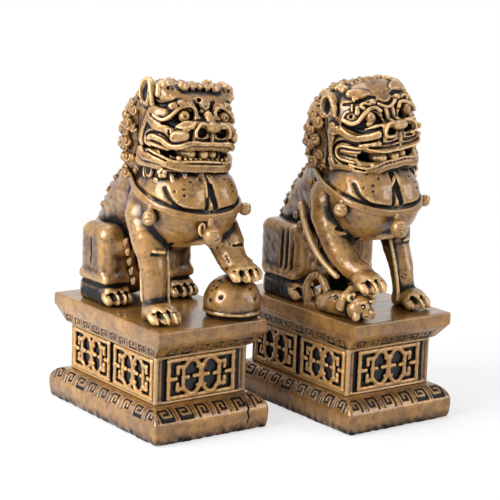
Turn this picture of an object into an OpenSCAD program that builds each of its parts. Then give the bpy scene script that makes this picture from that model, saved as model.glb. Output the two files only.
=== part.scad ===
// Pair of seated guardian lions on carved pedestals: the male rests a forepaw on a ball, the female on a cub.
// Both face -Y. The origin is on the shelf, in the middle of the pair's outline.

/* [Pair] */
// Distance between the two figurines, side to side
pair_across = 91; // [84:0.5:130]
// How far the second figurine stands in front of the first
pair_forward = 33.4; // [0:0.2:60]

/* [Foot pad] */
// Thickness of the felt pad
pad_t = 1; // [0.6:0.1:2]
// How far the felt pad stays inside the foot of the plinth
pad_inset = 2; // [1:0.5:6]

/* [Plinth] */
// Width of the plinth at its bulge
plinth_w = 67; // [62:0.5:80]
// Length of the plinth at its bulge
plinth_l = 103; // [94:0.5:120]
// Height of the plinth
plinth_h = 15.5; // [11:0.5:22]
// How far the foot of the plinth steps in under the bulge
plinth_undercut = 2.5; // [1:0.5:4]
// Length of one key of the pattern cut round the shoulder
key_pitch = 10.8; // [9:0.1:14]
// Width of the grooves that draw the keys
key_groove = 1.2; // [0.8:0.1:1.5]
// Depth of those grooves
key_depth = 0.6; // [0.3:0.1:0.9]

/* [Waist] */
// Width of the waist over its raised frets
waist_w = 54; // [48:0.5:56]
// Length of the waist over its raised frets
waist_l = 80; // [70:0.5:84]
// Height of the waist
waist_h = 24; // [18:0.5:36]
// Height of the rails above and below the panels
rail_h = 1.6; // [1:0.1:3]
// Depth of the frets' ground under their faces
relief = 2; // [1:0.1:3]
// Width of the raised line that draws the frets
fret_line = 1.3; // [0.9:0.1:1.6]
// Width of the open corner channel beside an end panel
channel_w = 7; // [5:0.5:9]
// Width of the groove between two side panels
side_groove = 4; // [2:0.5:6]

/* [Top slab] */
// Width of the top slab
slab_w = 63; // [60:0.5:76]
// Length of the top slab
slab_l = 99; // [92:0.5:116]
// Height of the slab's upright edge
fascia_h = 6.5; // [4:0.5:10]
// Height of the sloping band under the edge
band_h = 8; // [5:0.5:12]
// Width of the worn bevel round the slab's top
slab_bevel = 0.8; // [0.4:0.1:2]

/* [Lion] */
// Width of the lion over its haunches
lion_w = 56; // [52:0.5:60]
// Length of the lion from forepaws to rump
lion_l = 94; // [86:0.5:100]
// Height of the lion above the slab
lion_h = 115; // [100:0.5:130]
// Diameter of the ball under the paw
ball_d = 29; // [26:0.5:31]
// Angle by which the head leans towards the raised paw
head_tilt = 5; // [0:1:10]
// Radius of one curl of the mane
curl_r = 3; // [2.4:0.1:3.8]
// Number of curls in the widest row of the mane
mane_curls = 13; // [10:1:16]
// Thickness of the collar strap
strap_d = 3.4; // [2.6:0.1:4.2]
// Diameter of a bell on the collar
bell_d = 7.4; // [6:0.2:9]

/* [Hidden] */

// Heights of the pedestal's joints above the shelf
plinth_z = pad_t;
waist_z = plinth_z + plinth_h;
slab_z = waist_z + waist_h;
slab_h = band_h + fascia_h;
lion_z = slab_z + slab_h;

// Overrun of a cut past the face that it opens
over = 1;
// Gap between the ball and the paw that rests on it
seat_gap = 0.2;
// Sides of the large muscles, of the smaller forms, of the curls and of the ball
form_fn = 10;
small_fn = 7;
curl_fn = 5;
round_fn = 48;
// Steps in a quarter of the plinth's round shoulder
shoulder_steps = 6;
// Points round the collar, and sides of its strap
collar_steps = 20;
collar_sides = 4;

// Colours of the antique finish
gold = [0.66, 0.5, 0.3];
shade = [0.5, 0.37, 0.21];
dark = [0.2, 0.16, 0.12];
felt = [0.12, 0.13, 0.12];

// Width of the ledge at the waist's foot
ledge = fret_line / 2;
// Plain strip left below, above and at the ends of a row of keys
key_margin = 0.9;
// Groove that winds into a key: its left, right and top edge and its inner end, as shares of the key
key_left_share = 0.29;
key_right_share = 0.85;
key_top_share = 0.8;
key_foot_share = 0.2;
key_end_share = 0.52;
// Where the thin rib stands in a corner channel, as a share of its width, and the ribs' width
channel_rib_share = 0.46;
rib_t = 0.7 * fret_line;
// Where the side panels end, past the ribs of the corners
side_end = relief + rib_t;

// Fret figure as shares of a panel: loop width, prong length, hook height and hook reach
loop_share = 0.26;
prong_share = 0.09;
hook_up_share = 0.25;
hook_reach_share = 0.11;
hook_leg_share = 0.17;
loop_corner_share = 0.4;

// Size that the radii below are shares of: it follows all three sizes of the lion
form_size = 0.2113 * (lion_w + lion_l + lion_h);

// Forms of the lion, in percent shares: across (of lion_w), along (of lion_l), up (of lion_h), and
// radius (of form_size). The raised paw is on the +X side; the female is the mirror image.
percent = 0.01;
torso_shares = [[0, 32, 13, 27.5], [0, 28.5, 30.5, 30.5], [0, 16, 43.5, 33], [0, 2, 51, 35], [0, -13, 51, 35]];
chest_shares = [[-11.5, -25.5, 46, 33], [11.5, -25.5, 46, 33]];
belly_shares = [[0, -15, 43.5, 27], [0, 8.5, 35, 27], [0, 25.5, 21, 27]];
neck_shares = [[0, -8.5, 57.5, 34], [0, -13, 73, 30.5]];
// Standing foreleg, from the shoulder down, its paw and its toes
standing_leg_shares = [
    [-33, -10.5, 45, 21.5], [-34.5, -18, 38.5, 18], [-35.5, -22.5, 26, 14.5], [-35.5, -27, 17.5, 12],
    [-35.5, -27.5, 7, 11.5], [-35.5, -37, 4.5, 12.5]
];
standing_toe_shares = [[-46, -41, 3.5, 5.5], [-39.5, -44, 4, 6], [-32, -44, 4, 6], [-25.5, -41, 3.5, 5.5]];
// Raised foreleg of the male over the ball, and of the female over the cub
ball_leg_shares = [
    [33, -15, 45, 21.5], [35, -23.5, 37.5, 18], [35.5, -30, 29.5, 14.5], [34, -37, 24, 11.5],
    [37.5, -46, 21, 10.5]
];
ball_toe_shares = [[27.5, -48.5, 19.5, 5.5], [34, -51.5, 19.5, 6], [41, -51.5, 19.5, 6], [47.5, -49, 19.5, 5.5]];
cub_leg_shares = [
    [33, -8, 44, 21.5], [34, -15, 35.5, 18], [33, -23, 26.5, 14], [29, -31, 19.5, 12],
    [26, -41, 16.5, 11.5]
];
cub_toe_shares = [[18, -45.5, 14.5, 5.5], [23.5, -48.5, 15, 6], [30.5, -48, 15, 6], [36, -44.5, 14.5, 5.5]];
// Hind leg: thigh, shin, foot and toes, on the -X side
thigh_shares = [[-27.5, 28.5, 15, 20], [-29.5, 27, 25, 19], [-34, 17.5, 27, 15]];
shin_shares = [[-34, 16, 26, 14], [-35, 17, 10, 14]];
foot_shares = [[-35, 30, 4, 13], [-35, 17, 4, 14]];
hind_toe_shares = [[-46, 12.5, 3.5, 5.5], [-39.5, 10, 3.5, 6], [-32, 10, 3.5, 6], [-25.5, 12.5, 3.5, 5.5]];
// Tail laid up the back, and the locks of hair behind a foreleg's elbow
tail_shares = [[0, 17, 65, 6.5], [0, 31, 53, 7], [0, 41, 40, 7], [0, 44, 27, 7]];
elbow_lock_shares = [[-45.5, -10, 31.5, 5.5], [-46.5, -13.5, 26.5, 5.5], [-46.5, -18, 21, 5.5], [-46, -21, 15.5, 5.5]];
ball_lock_shares = [[45, -12, 37, 4.5], [45, -18, 32, 4.5], [44, -24, 27, 4.5], [42, -30, 22, 4.5]];
cub_lock_shares = [[43, -5, 32, 4.5], [42, -10.5, 27, 4.5], [40.5, -16, 22.5, 4.5], [38.5, -21, 18, 4.5]];

// Head, about its own centre
head_centre_share = [0, -16.5, 81, 0];
skull_shares = [[-10.5, 0, 2.5, 30.5], [10.5, 0, 2.5, 30.5], [-12.5, -9.5, 8, 18], [12.5, -9.5, 8, 18]];
brow_shares = [[-27, -16, 7.5, 6.5], [-9, -21.5, 8.5, 5.5]];
cheek_shares = [[-27, -11, -4, 12], [-27, -1, -2.5, 14]];
muzzle_shares = [[-13, -21.5, -2.5, 13.5], [13, -21.5, -2.5, 13.5], [-14.5, -8.5, 0, 16], [14.5, -8.5, 0, 16]];
nose_shares = [[-8, -27, 0.5, 5.5], [8, -27, 0.5, 5.5], [0, -18, 5.5, 7]];
lip_shares = [[0, -26.5, -6.5, 5], [-22, -20, -7, 5.5], [-34, -2, -6, 5.5]];
eye_share = [-20, -19.5, 4.5, 7.5];
ear_shares = [[-33, -3, 9.5, 8], [-38.5, -4.5, 13, 8], [-43, -2.5, 15.4, 3.5]];
jaw_shares = [[-14, -22.5, -15, 7.5], [14, -22.5, -15, 7.5], [-24, -3, -13.5, 9], [24, -3, -13.5, 9]];
jaw_rim_shares = [[-20.5, -20, -13, 4.5], [-31, -2, -9.5, 4.5]];
tongue_shares = [[0, -4.5, -11, 8], [0, -17, -11, 7], [0, -23, -10, 4.5]];
// How much lower the female's jaw hangs, as a percent share of lion_h
jaw_drop_share = [0, 0, -2, 0];

// Mane: middle and half sizes of the mass, then its curls
mane_centre_share = [0, -3, 74, 0];
mane_half_share = [40, 18, 23.6, 0];
// Rows of curls: angle back from the face, and number of curls as a share of the widest row
mane_row_shares = [[80, 1], [104, 1], [128, 0.75], [152, 0.42]];
// Height round a row under which the neck has no curls, as a cosine
lowest_curl = -0.6;
// Beard tufts under the jaw, each from its root to its tip, seen from the head's centre
beard_shares = [
    [[-11, -21.5, -20.5, 6], [-8.5, -24.5, -28, 2.5]], [[9, -22, -20.5, 6], [6.5, -25.5, -27.5, 2.5]],
    [[-27, -11, -20, 6], [-27, -16, -26, 2.5]], [[27, -11, -20, 6], [27, -16, -26, 2.5]]
];

// Collar: middle, half width and half length, its rise to the back, then the bells that hang from it
collar_centre_share = [0, -16, 54.5, 0];
collar_half_shares = [43.5, 31.5, 9.5];
bell_shares = [[-41.5, -34, 43], [0, -49, 38.5], [41.5, -34, 43]];
bell_neck_share = 0.34;

// Cub under the female's paw: trunk, head, muzzle and ears, forelegs up to the paw, and the arched hind leg
cub_trunk_shares = [[40, -21, 4, 12], [41, -28, 5, 12.5], [41, -36, 5.5, 11]];
cub_head_share = [41, -44.5, 5.5, 11];
cub_muzzle_share = [38, -50, 6.5, 5.5];
cub_ear_shares = [[33.5, -43, 12, 3.5], [49, -43, 12, 3.5]];
cub_foreleg_shares = [[[33, -34, 8, 4.5], [28, -40, 9.5, 4.5]], [[46, -34, 8, 4.5], [40, -41, 10.5, 4.5]]];
cub_loop_shares = [[45, -5, 1.5, 5], [46, -3.5, 10, 4.5], [43, -10, 15, 4.5], [40, -19, 10.5, 5]];

// Place of a form, from its shares
function at(share) = [share[0] * lion_w, share[1] * lion_l, share[2] * lion_h] * percent;
function radius(share) = share[3] * form_size * percent;

module form(share, fn) {
    translate(at(share)) sphere(r = radius(share), $fn = fn);
}

// Forms joined one to the next
module chain(shares, fn) {
    for (i = [0 : len(shares) - 2]) {
        hull() {
            form(shares[i], fn);
            form(shares[i + 1], fn);
        }
    }
}

// Forms under one skin
module lump(shares, fn) {
    hull() {
        for (share = shares) {
            form(share, fn);
        }
    }
}

module both_sides() {
    children();
    mirror([1, 0, 0]) children();
}

// Everything above the slab's top
module above_slab() {
    translate([-lion_w, -lion_l, 0]) cube([2 * lion_w, 2 * lion_l, 2 * lion_h]);
}

module in_head() {
    translate(at(head_centre_share)) rotate([0, head_tilt, 0]) children();
}

// Block with a moulded edge: the side outlines run up from the foot, as distance from the middle and height
module moulding(outline_w, outline_l, w, l) {
    intersection() {
        rotate([90, 0, 0]) extruded_outline(outline_w, l + 2 * over);
        rotate([90, 0, 90]) extruded_outline(outline_l, w + 2 * over);
    }
}

module extruded_outline(outline, length) {
    n = len(outline);
    left = [for (i = [n - 1 : -1 : 0]) [-outline[i][0], outline[i][1]]];
    linear_extrude(height = length, center = true) polygon(concat(outline, left));
}

// Outline of the plinth: an undercut foot, a bulge, and a round shoulder up to the waist, all sunk by a depth
function plinth_outline(half, top_half, sink) =
    let (bulge = plinth_h / 2)
    concat(
        [for (i = [0 : shoulder_steps]) let (a = 90 * i / shoulder_steps)
            [half - sink - plinth_undercut * (1 - sin(a)), bulge * (1 - cos(a))]],
        [for (i = [1 : shoulder_steps]) let (a = 90 * i / shoulder_steps)
            [half - sink - (half - top_half) * (1 - cos(a)), bulge + (plinth_h - bulge - sink) * sin(a)]]
    );

// Outline of the slab: a sloping band, a small step out, an upright edge and a worn bevel
function slab_outline(half, foot_half) = [
    [foot_half, 0],
    [half - slab_bevel, band_h - slab_bevel],
    [half - slab_bevel, band_h],
    [half, band_h],
    [half, slab_h - slab_bevel],
    [half - slab_bevel, slab_h]
];

module felt_pad() {
    inset = plinth_undercut + pad_inset;
    color(felt) translate([inset - plinth_w / 2, inset - plinth_l / 2, 0])
        cube([plinth_w - 2 * inset, plinth_l - 2 * inset, pad_t]);
}

module plinth_form(sink) {
    moulding(
        plinth_outline(plinth_w / 2, waist_w / 2 + ledge, sink),
        plinth_outline(plinth_l / 2, waist_l / 2 + ledge, sink),
        plinth_w, plinth_l
    );
}

// Grooves of one key: the one that parts it from the next, and the one that winds into it
module key(h) {
    left = key_left_share * key_pitch;
    right = key_right_share * key_pitch;
    square([key_groove, h]);
    translate([left, 0]) square([key_groove, key_top_share * h]);
    translate([left, key_top_share * h - key_groove]) square([right - left, key_groove]);
    translate([right - key_groove, key_foot_share * h])
        square([key_groove, (key_top_share - key_foot_share) * h]);
    translate([key_end_share * key_pitch, key_foot_share * h])
        square([right - key_end_share * key_pitch, key_groove]);
}

// Row of keys along the shoulder of one side, drawn in the plane from its bulge to its top
module key_row(half, top_half, half_length, half_top_length) {
    rise = plinth_h / 2;
    run = half - top_half;
    tall = sqrt(rise * rise + run * run);
    count = floor(2 * (half_length - key_margin) / key_pitch);
    foot = half_length - key_margin;
    top = half_top_length - key_margin;
    translate([half, 0, rise]) rotate([0, -atan(run / rise), 0]) rotate([90, 0, 90])
        translate([0, 0, -over / 2]) linear_extrude(height = rise)
            intersection() {
                for (i = [0 : count - 1]) {
                    translate([(i - count / 2) * key_pitch, key_margin]) key(tall - 2 * key_margin);
                }
                polygon([[-foot, 0], [foot, 0], [top, tall], [-top, tall]]);
            }
}

module plinth() {
    top_w = waist_w / 2 + ledge;
    top_l = waist_l / 2 + ledge;
    color(gold) translate([0, 0, plinth_z]) {
        difference() {
            plinth_form(0);
            difference() {
                for (turn = [0, 180]) {
                    rotate([0, 0, turn]) key_row(plinth_w / 2, top_w, plinth_l / 2, top_l);
                    rotate([0, 0, turn + 90]) key_row(plinth_l / 2, top_l, plinth_w / 2, top_w);
                }
                plinth_form(key_depth);
            }
        }
    }
}

// Rib of a waist corner, drawn for the +X +Y corner with its tip at the origin
module corner_rib() {
    linear_extrude(height = waist_h)
        polygon([
            [0, 0], [-rib_t, 0], [-relief - rib_t, -relief], [-relief - rib_t, -relief - rib_t],
            [-relief, -relief - rib_t], [0, -rib_t]
        ]);
}

module waist() {
    rib_x = waist_w / 2 - channel_w * channel_rib_share;
    color(dark) translate([0, 0, waist_z]) {
        translate([relief - waist_w / 2, relief - waist_l / 2, 0])
            cube([waist_w - 2 * relief, waist_l - 2 * relief, waist_h]);
        for (z = [0, waist_h - rail_h]) {
            translate([-waist_w / 2, -waist_l / 2, z]) cube([waist_w, waist_l, rail_h]);
        }
        for (mx = [0, 1], my = [0, 1]) {
            mirror([mx, 0, 0]) mirror([0, my, 0]) {
                translate([waist_w / 2, waist_l / 2, 0]) corner_rib();
                translate([rib_x - rib_t, waist_l / 2 - relief, 0]) cube([rib_t, relief, waist_h]);
            }
        }
    }
}

// Upright loop with cut-off corners, drawn by one raised line
module fret_loop(w, h) {
    difference() {
        loop_plate(w, h);
        loop_plate(w - 2 * fret_line, h - 2 * fret_line);
    }
}

module loop_plate(w, h) {
    cut = loop_corner_share * w;
    polygon([
        [w / 2, h / 2 - cut], [w / 2 - cut, h / 2], [cut - w / 2, h / 2], [-w / 2, h / 2 - cut],
        [-w / 2, cut - h / 2], [cut - w / 2, -h / 2], [w / 2 - cut, -h / 2], [w / 2, cut - h / 2]
    ]);
}

module bar(x, y, w, h) {
    translate([x, y - h / 2]) square([w, h]);
}

// One panel: a frame, two loops back to back, a prong on each side of a loop, and hooks beside the frame
module fret(w, h) {
    loop_w = loop_share * w;
    prong = prong_share * w;
    reach = hook_reach_share * w;
    leg = hook_leg_share * h;
    outer = loop_w - fret_line / 2;
    difference() {
        square([w, h], center = true);
        square([w - 2 * fret_line, h - 2 * fret_line], center = true);
    }
    for (m = [0, 1]) {
        mirror([m, 0]) {
            translate([loop_w / 2 - fret_line / 2, 0]) fret_loop(loop_w, h - fret_line);
            bar(0, 0, prong, fret_line);
            bar(outer - prong, 0, prong, fret_line);
            bar(w / 2 - reach, 0, reach, fret_line);
            for (s = [-1, 1]) {
                bar(outer - fret_line, s * hook_up_share * h, reach, fret_line);
                bar(outer + reach - 2 * fret_line, s * (hook_up_share * h - leg / 2 + fret_line / 2), fret_line, leg);
            }
        }
    }
}

module fret_panels() {
    panel_h = waist_h - 2 * rail_h;
    end_w = waist_w - 2 * channel_w;
    side_w = waist_l / 2 - side_end - side_groove / 2;
    color(gold) translate([0, 0, waist_z + waist_h / 2]) {
        for (turn = [0, 180]) {
            rotate([90, 0, turn]) translate([0, 0, waist_l / 2 - relief])
                linear_extrude(height = relief) fret(end_w, panel_h);
            for (s = [-1, 1]) {
                rotate([90, 0, turn + 90]) translate([s * (side_w + side_groove) / 2, 0, waist_w / 2 - relief])
                    linear_extrude(height = relief) fret(side_w, panel_h);
            }
        }
    }
}

module top_slab() {
    color(gold) translate([0, 0, slab_z])
        moulding(
            slab_outline(slab_w / 2, waist_w / 2 + ledge), slab_outline(slab_l / 2, waist_l / 2 + ledge),
            slab_w, slab_l
        );
}

// The forms below are drawn with the slab's top at height zero

module body_form() {
    chain(torso_shares, form_fn);
    chain(belly_shares, form_fn);
    chain(neck_shares, form_fn);
    lump(concat(chest_shares, [torso_shares[4]]), form_fn);
}

module body() {
    intersection() {
        body_form();
        above_slab();
    }
}

module head_form() {
    in_head() {
        lump(skull_shares, form_fn);
        lump(muzzle_shares, form_fn);
        lump(nose_shares, small_fn);
        both_sides() {
            lump(brow_shares, small_fn);
            lump(cheek_shares, small_fn);
            chain(lip_shares, small_fn);
        }
    }
}

module eye_form() {
    in_head() both_sides() form(eye_share, small_fn);
}

module head() {
    difference() {
        head_form();
        body_form();
        eye_form();
    }
}

module jaw_form(second) {
    in_head() translate(at(jaw_drop_share) * second) {
        lump(jaw_shares, small_fn);
        both_sides() lump(jaw_rim_shares, small_fn);
    }
}

module lower_jaw(second) {
    difference() {
        jaw_form(second);
        head_form();
        body_form();
    }
}

module tongue(second) {
    difference() {
        in_head() translate(at(jaw_drop_share) * second) chain(tongue_shares, small_fn);
        jaw_form(second);
        head_form();
        body_form();
    }
}

module ear_form() {
    in_head() both_sides() lump(ear_shares, small_fn);
}

module ears() {
    difference() {
        ear_form();
        head_form();
    }
}

// One curl on the mane's mass, at an angle back from the face and an angle round it
module mane_curl(back, round) {
    half = at(mane_half_share);
    translate([half[0] * sin(back) * sin(round), -half[1] * cos(back), half[2] * sin(back) * cos(round)])
        sphere(r = curl_r, $fn = curl_fn);
}

module mane_form() {
    translate(at(mane_centre_share)) {
        scale(at(mane_half_share)) sphere(r = 1, $fn = form_fn + 2);
        for (r = [0 : len(mane_row_shares) - 1]) {
            n = round(mane_row_shares[r][1] * mane_curls);
            for (i = [0 : n - 1]) {
                turn = 360 * (i + (r % 2) / 2) / n;
                if (cos(turn) > lowest_curl) {
                    mane_curl(mane_row_shares[r][0], turn);
                }
            }
        }
    }
}

module mane(second) {
    difference() {
        mane_form();
        body_form();
        head_form();
        jaw_form(second);
        ear_form();
        eye_form();
    }
}

module beard(second) {
    difference() {
        in_head() translate(at(jaw_drop_share) * second) {
            for (tuft = beard_shares) {
                lump(tuft, curl_fn);
            }
        }
        body_form();
        head_form();
        jaw_form(second);
        mane_form();
    }
}

module tail() {
    difference() {
        union() {
            chain(tail_shares, small_fn);
            for (i = [0 : len(tail_shares) - 2]) {
                middle = at((tail_shares[i] + tail_shares[i + 1]) / 2);
                for (s = [-1, 1]) {
                    translate(middle + [s * curl_r, curl_r / 2, curl_r / 2]) sphere(r = curl_r, $fn = curl_fn);
                }
            }
        }
        body_form();
        mane_form();
        collar_form();
    }
}

module standing_leg_form() {
    chain(standing_leg_shares, small_fn);
    chain(standing_toe_shares, curl_fn);
}

module standing_foreleg() {
    difference() {
        intersection() {
            standing_leg_form();
            above_slab();
        }
        body_form();
    }
}

module raised_leg_form(second) {
    chain(second ? cub_leg_shares : ball_leg_shares, small_fn);
    chain(second ? cub_toe_shares : ball_toe_shares, curl_fn);
}

module raised_foreleg(second) {
    difference() {
        raised_leg_form(second);
        body_form();
        if (second) {
            cub_form();
        } else {
            ball_form(seat_gap);
        }
    }
}

module hind_leg() {
    difference() {
        intersection() {
            union() {
                lump(thigh_shares, form_fn);
                lump(shin_shares, small_fn);
                lump(foot_shares, small_fn);
                chain(hind_toe_shares, curl_fn);
            }
            above_slab();
        }
        body_form();
    }
}

module elbow_locks(second) {
    difference() {
        union() {
            chain(elbow_lock_shares, curl_fn);
            chain(second ? cub_lock_shares : ball_lock_shares, curl_fn);
        }
        standing_leg_form();
        raised_leg_form(second);
        body_form();
    }
}

// Closed strap: rings of points about the middle line of a tilted oval
module collar_form() {
    half = [collar_half_shares[0] * lion_w, collar_half_shares[1] * lion_l, collar_half_shares[2] * lion_h] * percent;
    points = [
        for (i = [0 : collar_steps - 1], j = [0 : collar_sides - 1])
            let (a = 360 * i / collar_steps, b = 360 * j / collar_sides, out = strap_d / 2 * cos(b))
            [(half[0] + out) * sin(a), -(half[1] + out) * cos(a), -half[2] * cos(a) + strap_d / 2 * sin(b)]
    ];
    faces = [
        for (i = [0 : collar_steps - 1], j = [0 : collar_sides - 1])
            let (ni = (i + 1) % collar_steps, nj = (j + 1) % collar_sides)
            [i * collar_sides + j, i * collar_sides + nj, ni * collar_sides + nj, ni * collar_sides + j]
    ];
    translate(at(collar_centre_share)) polyhedron(points, faces, convexity = 4);
}

module collar(second) {
    difference() {
        collar_form();
        body_form();
        mane_form();
        standing_leg_form();
        raised_leg_form(second);
    }
}

// Bell with a round body and a neck that reaches up to the strap
module bells(second) {
    difference() {
        for (share = bell_shares) {
            translate(at(share)) hull() {
                sphere(d = bell_d, $fn = small_fn);
                translate([0, 0, bell_d * 0.8]) sphere(d = bell_d * bell_neck_share, $fn = small_fn);
            }
        }
        body_form();
        collar_form();
        standing_leg_form();
        raised_leg_form(second);
    }
}

// Ball sunk so far into the slab that its top meets the raised paw
module ball_form(gap) {
    paw = at(ball_leg_shares[4]);
    heel = at(ball_leg_shares[3]);
    under = paw[2] - radius(ball_leg_shares[4]) * 0.6;
    translate([(paw[0] + heel[0]) / 2, (paw[1] + heel[1]) / 2 + ball_d / 8, under - ball_d / 2])
        sphere(d = ball_d + 2 * gap, $fn = round_fn);
}

module ball() {
    difference() {
        ball_form(0);
        translate([-lion_w, -lion_l, -ball_d]) cube([2 * lion_w, 2 * lion_l, ball_d]);
    }
}

module cub_form() {
    chain(cub_trunk_shares, small_fn);
    form(cub_head_share, small_fn);
    lump([cub_head_share, cub_muzzle_share], curl_fn);
    for (share = cub_ear_shares) {
        lump([cub_head_share, share], curl_fn);
    }
    for (leg = cub_foreleg_shares) {
        lump(leg, curl_fn);
    }
    chain(cub_loop_shares, curl_fn);
}

module cub() {
    intersection() {
        cub_form();
        above_slab();
    }
}

// Draws one piece of a figurine when it is asked for
module piece(name) {
    union() {
        children();
    }
}

module on_slab(colour) {
    color(colour) translate([0, 0, lion_z]) children();
}

module figurine(sex, second) {
    right = second ? "_left_hind_leg" : "_right_hind_leg";
    left = second ? "_right_hind_leg" : "_left_hind_leg";
    piece(str(sex, "_felt_pad")) felt_pad();
    piece(str(sex, "_plinth")) plinth();
    piece(str(sex, "_waist")) waist();
    piece(str(sex, "_fret_panels")) fret_panels();
    piece(str(sex, "_top_slab")) top_slab();
    piece(str(sex, "_body")) on_slab(gold) body();
    piece(str(sex, "_head")) on_slab(gold) head();
    piece(str(sex, "_lower_jaw")) on_slab(gold) lower_jaw(second);
    piece(str(sex, "_tongue")) on_slab(shade) tongue(second);
    piece(str(sex, "_ears")) on_slab(gold) ears();
    piece(str(sex, "_eyes")) on_slab(gold) eye_form();
    piece(str(sex, "_mane")) on_slab(shade) mane(second);
    piece(str(sex, "_beard")) on_slab(shade) beard(second);
    piece(str(sex, "_tail")) on_slab(shade) tail();
    piece(str(sex, "_standing_foreleg")) on_slab(gold) standing_foreleg();
    piece(str(sex, "_raised_foreleg")) on_slab(gold) raised_foreleg(second);
    piece(str(sex, right)) on_slab(gold) hind_leg();
    piece(str(sex, left)) on_slab(gold) mirror([1, 0, 0]) hind_leg();
    piece(str(sex, "_elbow_locks")) on_slab(shade) elbow_locks(second);
    piece(str(sex, "_collar")) on_slab(gold) collar(second);
    piece(str(sex, "_bells")) on_slab(gold) bells(second);
    if (second) {
        piece(str(sex, "_cub")) on_slab(gold) cub();
    } else {
        piece(str(sex, "_ball")) on_slab(gold) ball();
    }
}

translate([-pair_across, pair_forward, 0] / 2) figurine("male", 0);
translate([pair_across, -pair_forward, 0] / 2) mirror([1, 0, 0]) figurine("female", 1);
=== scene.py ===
import math
import bmesh
import bpy
import numpy as np
from mathutils import Matrix, Vector


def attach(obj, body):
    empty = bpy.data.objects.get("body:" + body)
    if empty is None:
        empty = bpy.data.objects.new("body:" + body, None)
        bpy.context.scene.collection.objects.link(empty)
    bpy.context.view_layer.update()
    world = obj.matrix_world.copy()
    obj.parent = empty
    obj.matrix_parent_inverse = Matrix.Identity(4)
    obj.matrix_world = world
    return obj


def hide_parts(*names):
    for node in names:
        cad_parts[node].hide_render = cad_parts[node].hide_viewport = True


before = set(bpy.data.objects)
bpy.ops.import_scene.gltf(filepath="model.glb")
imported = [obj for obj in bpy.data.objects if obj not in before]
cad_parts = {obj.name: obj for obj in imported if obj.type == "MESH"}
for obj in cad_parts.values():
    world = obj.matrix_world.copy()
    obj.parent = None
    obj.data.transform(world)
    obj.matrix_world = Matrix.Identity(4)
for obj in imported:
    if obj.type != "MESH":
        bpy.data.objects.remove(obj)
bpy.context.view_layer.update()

# Sizes in this file are millimetres; meshes are written in metres.
MM = 0.001
FAR = 1000.0
COARSER = 1.0
# Heights in a pedestal above the shelf, and half its width and length at each part
PLINTH_FOOT, WAIST_FOOT, SLAB_FOOT, SLAB_TOP = 1.0, 16.5, 40.5, 55.0
PLINTH_HALF, WAIST_HALF, SLAB_HALF = (33.5, 51.5), (25.0, 38.0), (31.5, 49.5)
# Steps of the grids: of the shelter over a whole lion, of a moulding's points and of the frets
SHELTER_STEP = 0.9
MOULDING_STEP = 0.42 * COARSER
FRET_STEP = 0.45 * COARSER


# Modelling clay

def soft_min(a, b, blend):
    """Join two distance fields with a fillet."""
    if blend <= 0:
        return np.minimum(a, b)
    near = np.maximum(blend - np.abs(a - b), 0.0)
    return np.minimum(a, b) - near * near * (0.25 / blend)


def smooth_line(points, pieces=3):
    """Curve through points, whatever values they carry."""
    points = np.array(points, float)
    if len(points) < 3:
        return points
    padded = np.concatenate([[2 * points[0] - points[1]], points, [2 * points[-1] - points[-2]]])
    line = []
    for a, b, c, d in zip(padded, padded[1:], padded[2:], padded[3:]):
        for t in np.arange(pieces) / pieces:
            line.append(0.5 * (2 * b + (c - a) * t + (2 * a - 5 * b + 4 * c - d) * t ** 2
                               + (3 * b - a - 3 * c + d) * t ** 3))
    return np.array(line + [points[-1]])


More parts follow.
